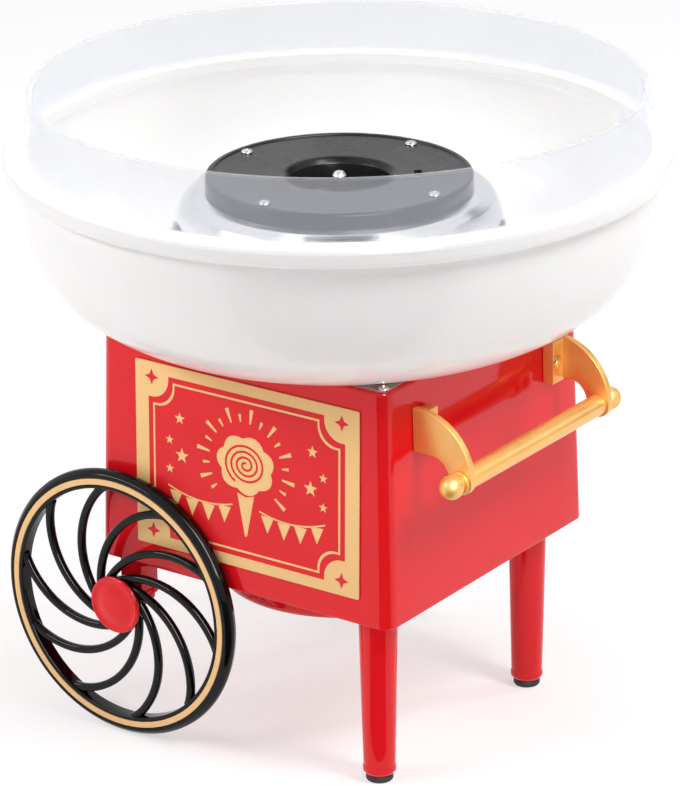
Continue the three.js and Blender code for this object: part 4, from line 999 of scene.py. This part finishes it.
def area_light(name, spot, aim, size, power, size_y=None):
    data = bpy.data.lights.new(name, "AREA")
    data.shape = "RECTANGLE"
    data.size = size
    data.size_y = size_y or size
    data.energy = power
    light = bpy.data.objects.new(name, data)
    bpy.context.scene.collection.objects.link(light)
    light.location = spot
    light.rotation_euler = (Vector(aim) - Vector(spot)).to_track_quat("-Z", "Y").to_euler()


def background_rays(nodes, links):
    """1 for the rays that show the background: camera, glossy and transmission rays."""
    path = add_node(nodes, "LightPath")
    seen = path.outputs["Is Camera Ray"]
    for kind in ("Is Glossy Ray", "Is Transmission Ray"):
        most = add_node(nodes, "Math")
        most.operation = "MAXIMUM"
        links.new(seen, most.inputs[0])
        links.new(path.outputs[kind], most.inputs[1])
        seen = most.outputs["Value"]
    return seen


def make_world():
    scene = bpy.context.scene
    scene.view_settings.view_transform = "Standard"
    scene.world = bpy.data.worlds.new("studio")
    scene.world.use_nodes = True
    nodes, links = scene.world.node_tree.nodes, scene.world.node_tree.links
    background = set_inputs(nodes["Background"], color=(1, 1, 1, 1))
    level = add_node(nodes, "MapRange", to_min=0.4, to_max=1.0)
    links.new(background_rays(nodes, links), level.inputs["Value"])
    links.new(level.outputs["Result"], background.inputs["Strength"])


def make_floor():
    """A plain floor under the part's light, which shows as near white to the background's rays."""
    bm = bmesh.new()
    bmesh.ops.create_grid(bm, x_segments=1, y_segments=1, size=6000)
    floor = piece("floor", bm, shift(0, 0, -0.02))
    mat, nodes, links = new_material("floor_white")
    shader = set_inputs(nodes["Principled BSDF"], base_color=(0.82, 0.82, 0.82, 1), roughness=0.55,
                        specular_ior_level=0.1)
    seen = add_node(nodes, "BsdfDiffuse", color=(0.54, 0.54, 0.54, 1))
    glow = add_node(nodes, "Emission", strength=0.55)
    add = add_node(nodes, "AddShader")
    pick = add_node(nodes, "MixShader")
    links.new(seen.outputs["BSDF"], add.inputs[0])
    links.new(glow.outputs["Emission"], add.inputs[1])
    links.new(background_rays(nodes, links), pick.inputs["Fac"])
    links.new(shader.outputs["BSDF"], pick.inputs[1])
    links.new(add.outputs["Shader"], pick.inputs[2])
    links.new(pick.outputs["Shader"], nodes["Material Output"].inputs["Surface"])
    floor.data.materials.append(mat)


def hidden_card(name, bm, material, place=None):
    """A card that only glossy and transmission rays meet."""
    card = piece(name, bm, place)
    card.data.materials.append(material)
    card.visible_camera = card.visible_shadow = card.visible_diffuse = False
    return card


def make_dark_card():
    """Black cards that lie in front, hang overhead and stand at the back right. Only glossy and transmission rays
    meet them, so they are painted dark reflections in glossy surfaces.
    """
    dark, nodes = new_material("card_black")[:2]
    set_inputs(nodes["Principled BSDF"], base_color=(0.01, 0.01, 0.01, 1), roughness=1.0)
    bm = bmesh.new()
    wedge = [(-40, 108), (-1100, 1300), (1100, 1300), (40, 108)]
    along, across = Vector((0.583, -0.8125)), Vector((0.8125, 0.583))
    ceiling = [(-280, -350), (-280, 800), (280, 800), (280, -350)]
    for outline, height in ((wedge, 0.5), (ceiling, 1400)):
        spots = [along * reach + across * side for side, reach in outline]
        bm.faces.new([bm.verts.new((p.x, p.y, height)) for p in spots])
    screen = ((-50, 1560), (1150, 1160))
    bm.faces.new([bm.verts.new((*screen[i], z)) for i, z in ((0, 60), (1, 60), (1, 1300), (0, 1300))])
    card = hidden_card("dark_card", bm, dark)


def make_painted_highlight_card():
    """A glowing card at the right, not a lamp, seen only in glossy surfaces: it paints thin highlights on rounded
    edges.
    """
    mat, nodes, links = new_material("painted_highlight_card")
    # The glow of the painted highlights; it lights nothing
    light = add_node(nodes, "Emission", strength=18.0)
    links.new(light.outputs["Emission"], nodes["Material Output"].inputs["Surface"])
    bm = bmesh.new()
    bm.faces.new([bm.verts.new((x, y, 0)) for x, y in ((-260, -600), (260, -600), (260, 600), (-260, 600))])
    spot = Vector((968, -678, 923))
    place = Matrix.Translation(spot) @ spot.to_track_quat("Z", "Y").to_matrix().to_4x4()
    box = hidden_card("painted_highlight_card", bm, mat, place)
    box.visible_transmission = False


def make_lamps():
    area_light("key", (-1.0, -1.25, 1.2), (0, 0, 0.12), 1.2, 15, 0.3)
    area_light("fill", (1.1, -0.05, 1.5), (0, 0, 0.12), 0.35, 13.5, 0.6)
    area_light("rim", (0.85, 1.4, 0.85), (0, 0, 0.15), 0.22, 5, 0.5)
    area_light("top", (0.0, 0.1, 1.6), (0, 0, 0.2), 1.0, 5, 0.5)


make_camera()
make_world()
make_floor()
make_dark_card()
make_lamps()
make_painted_highlight_card()
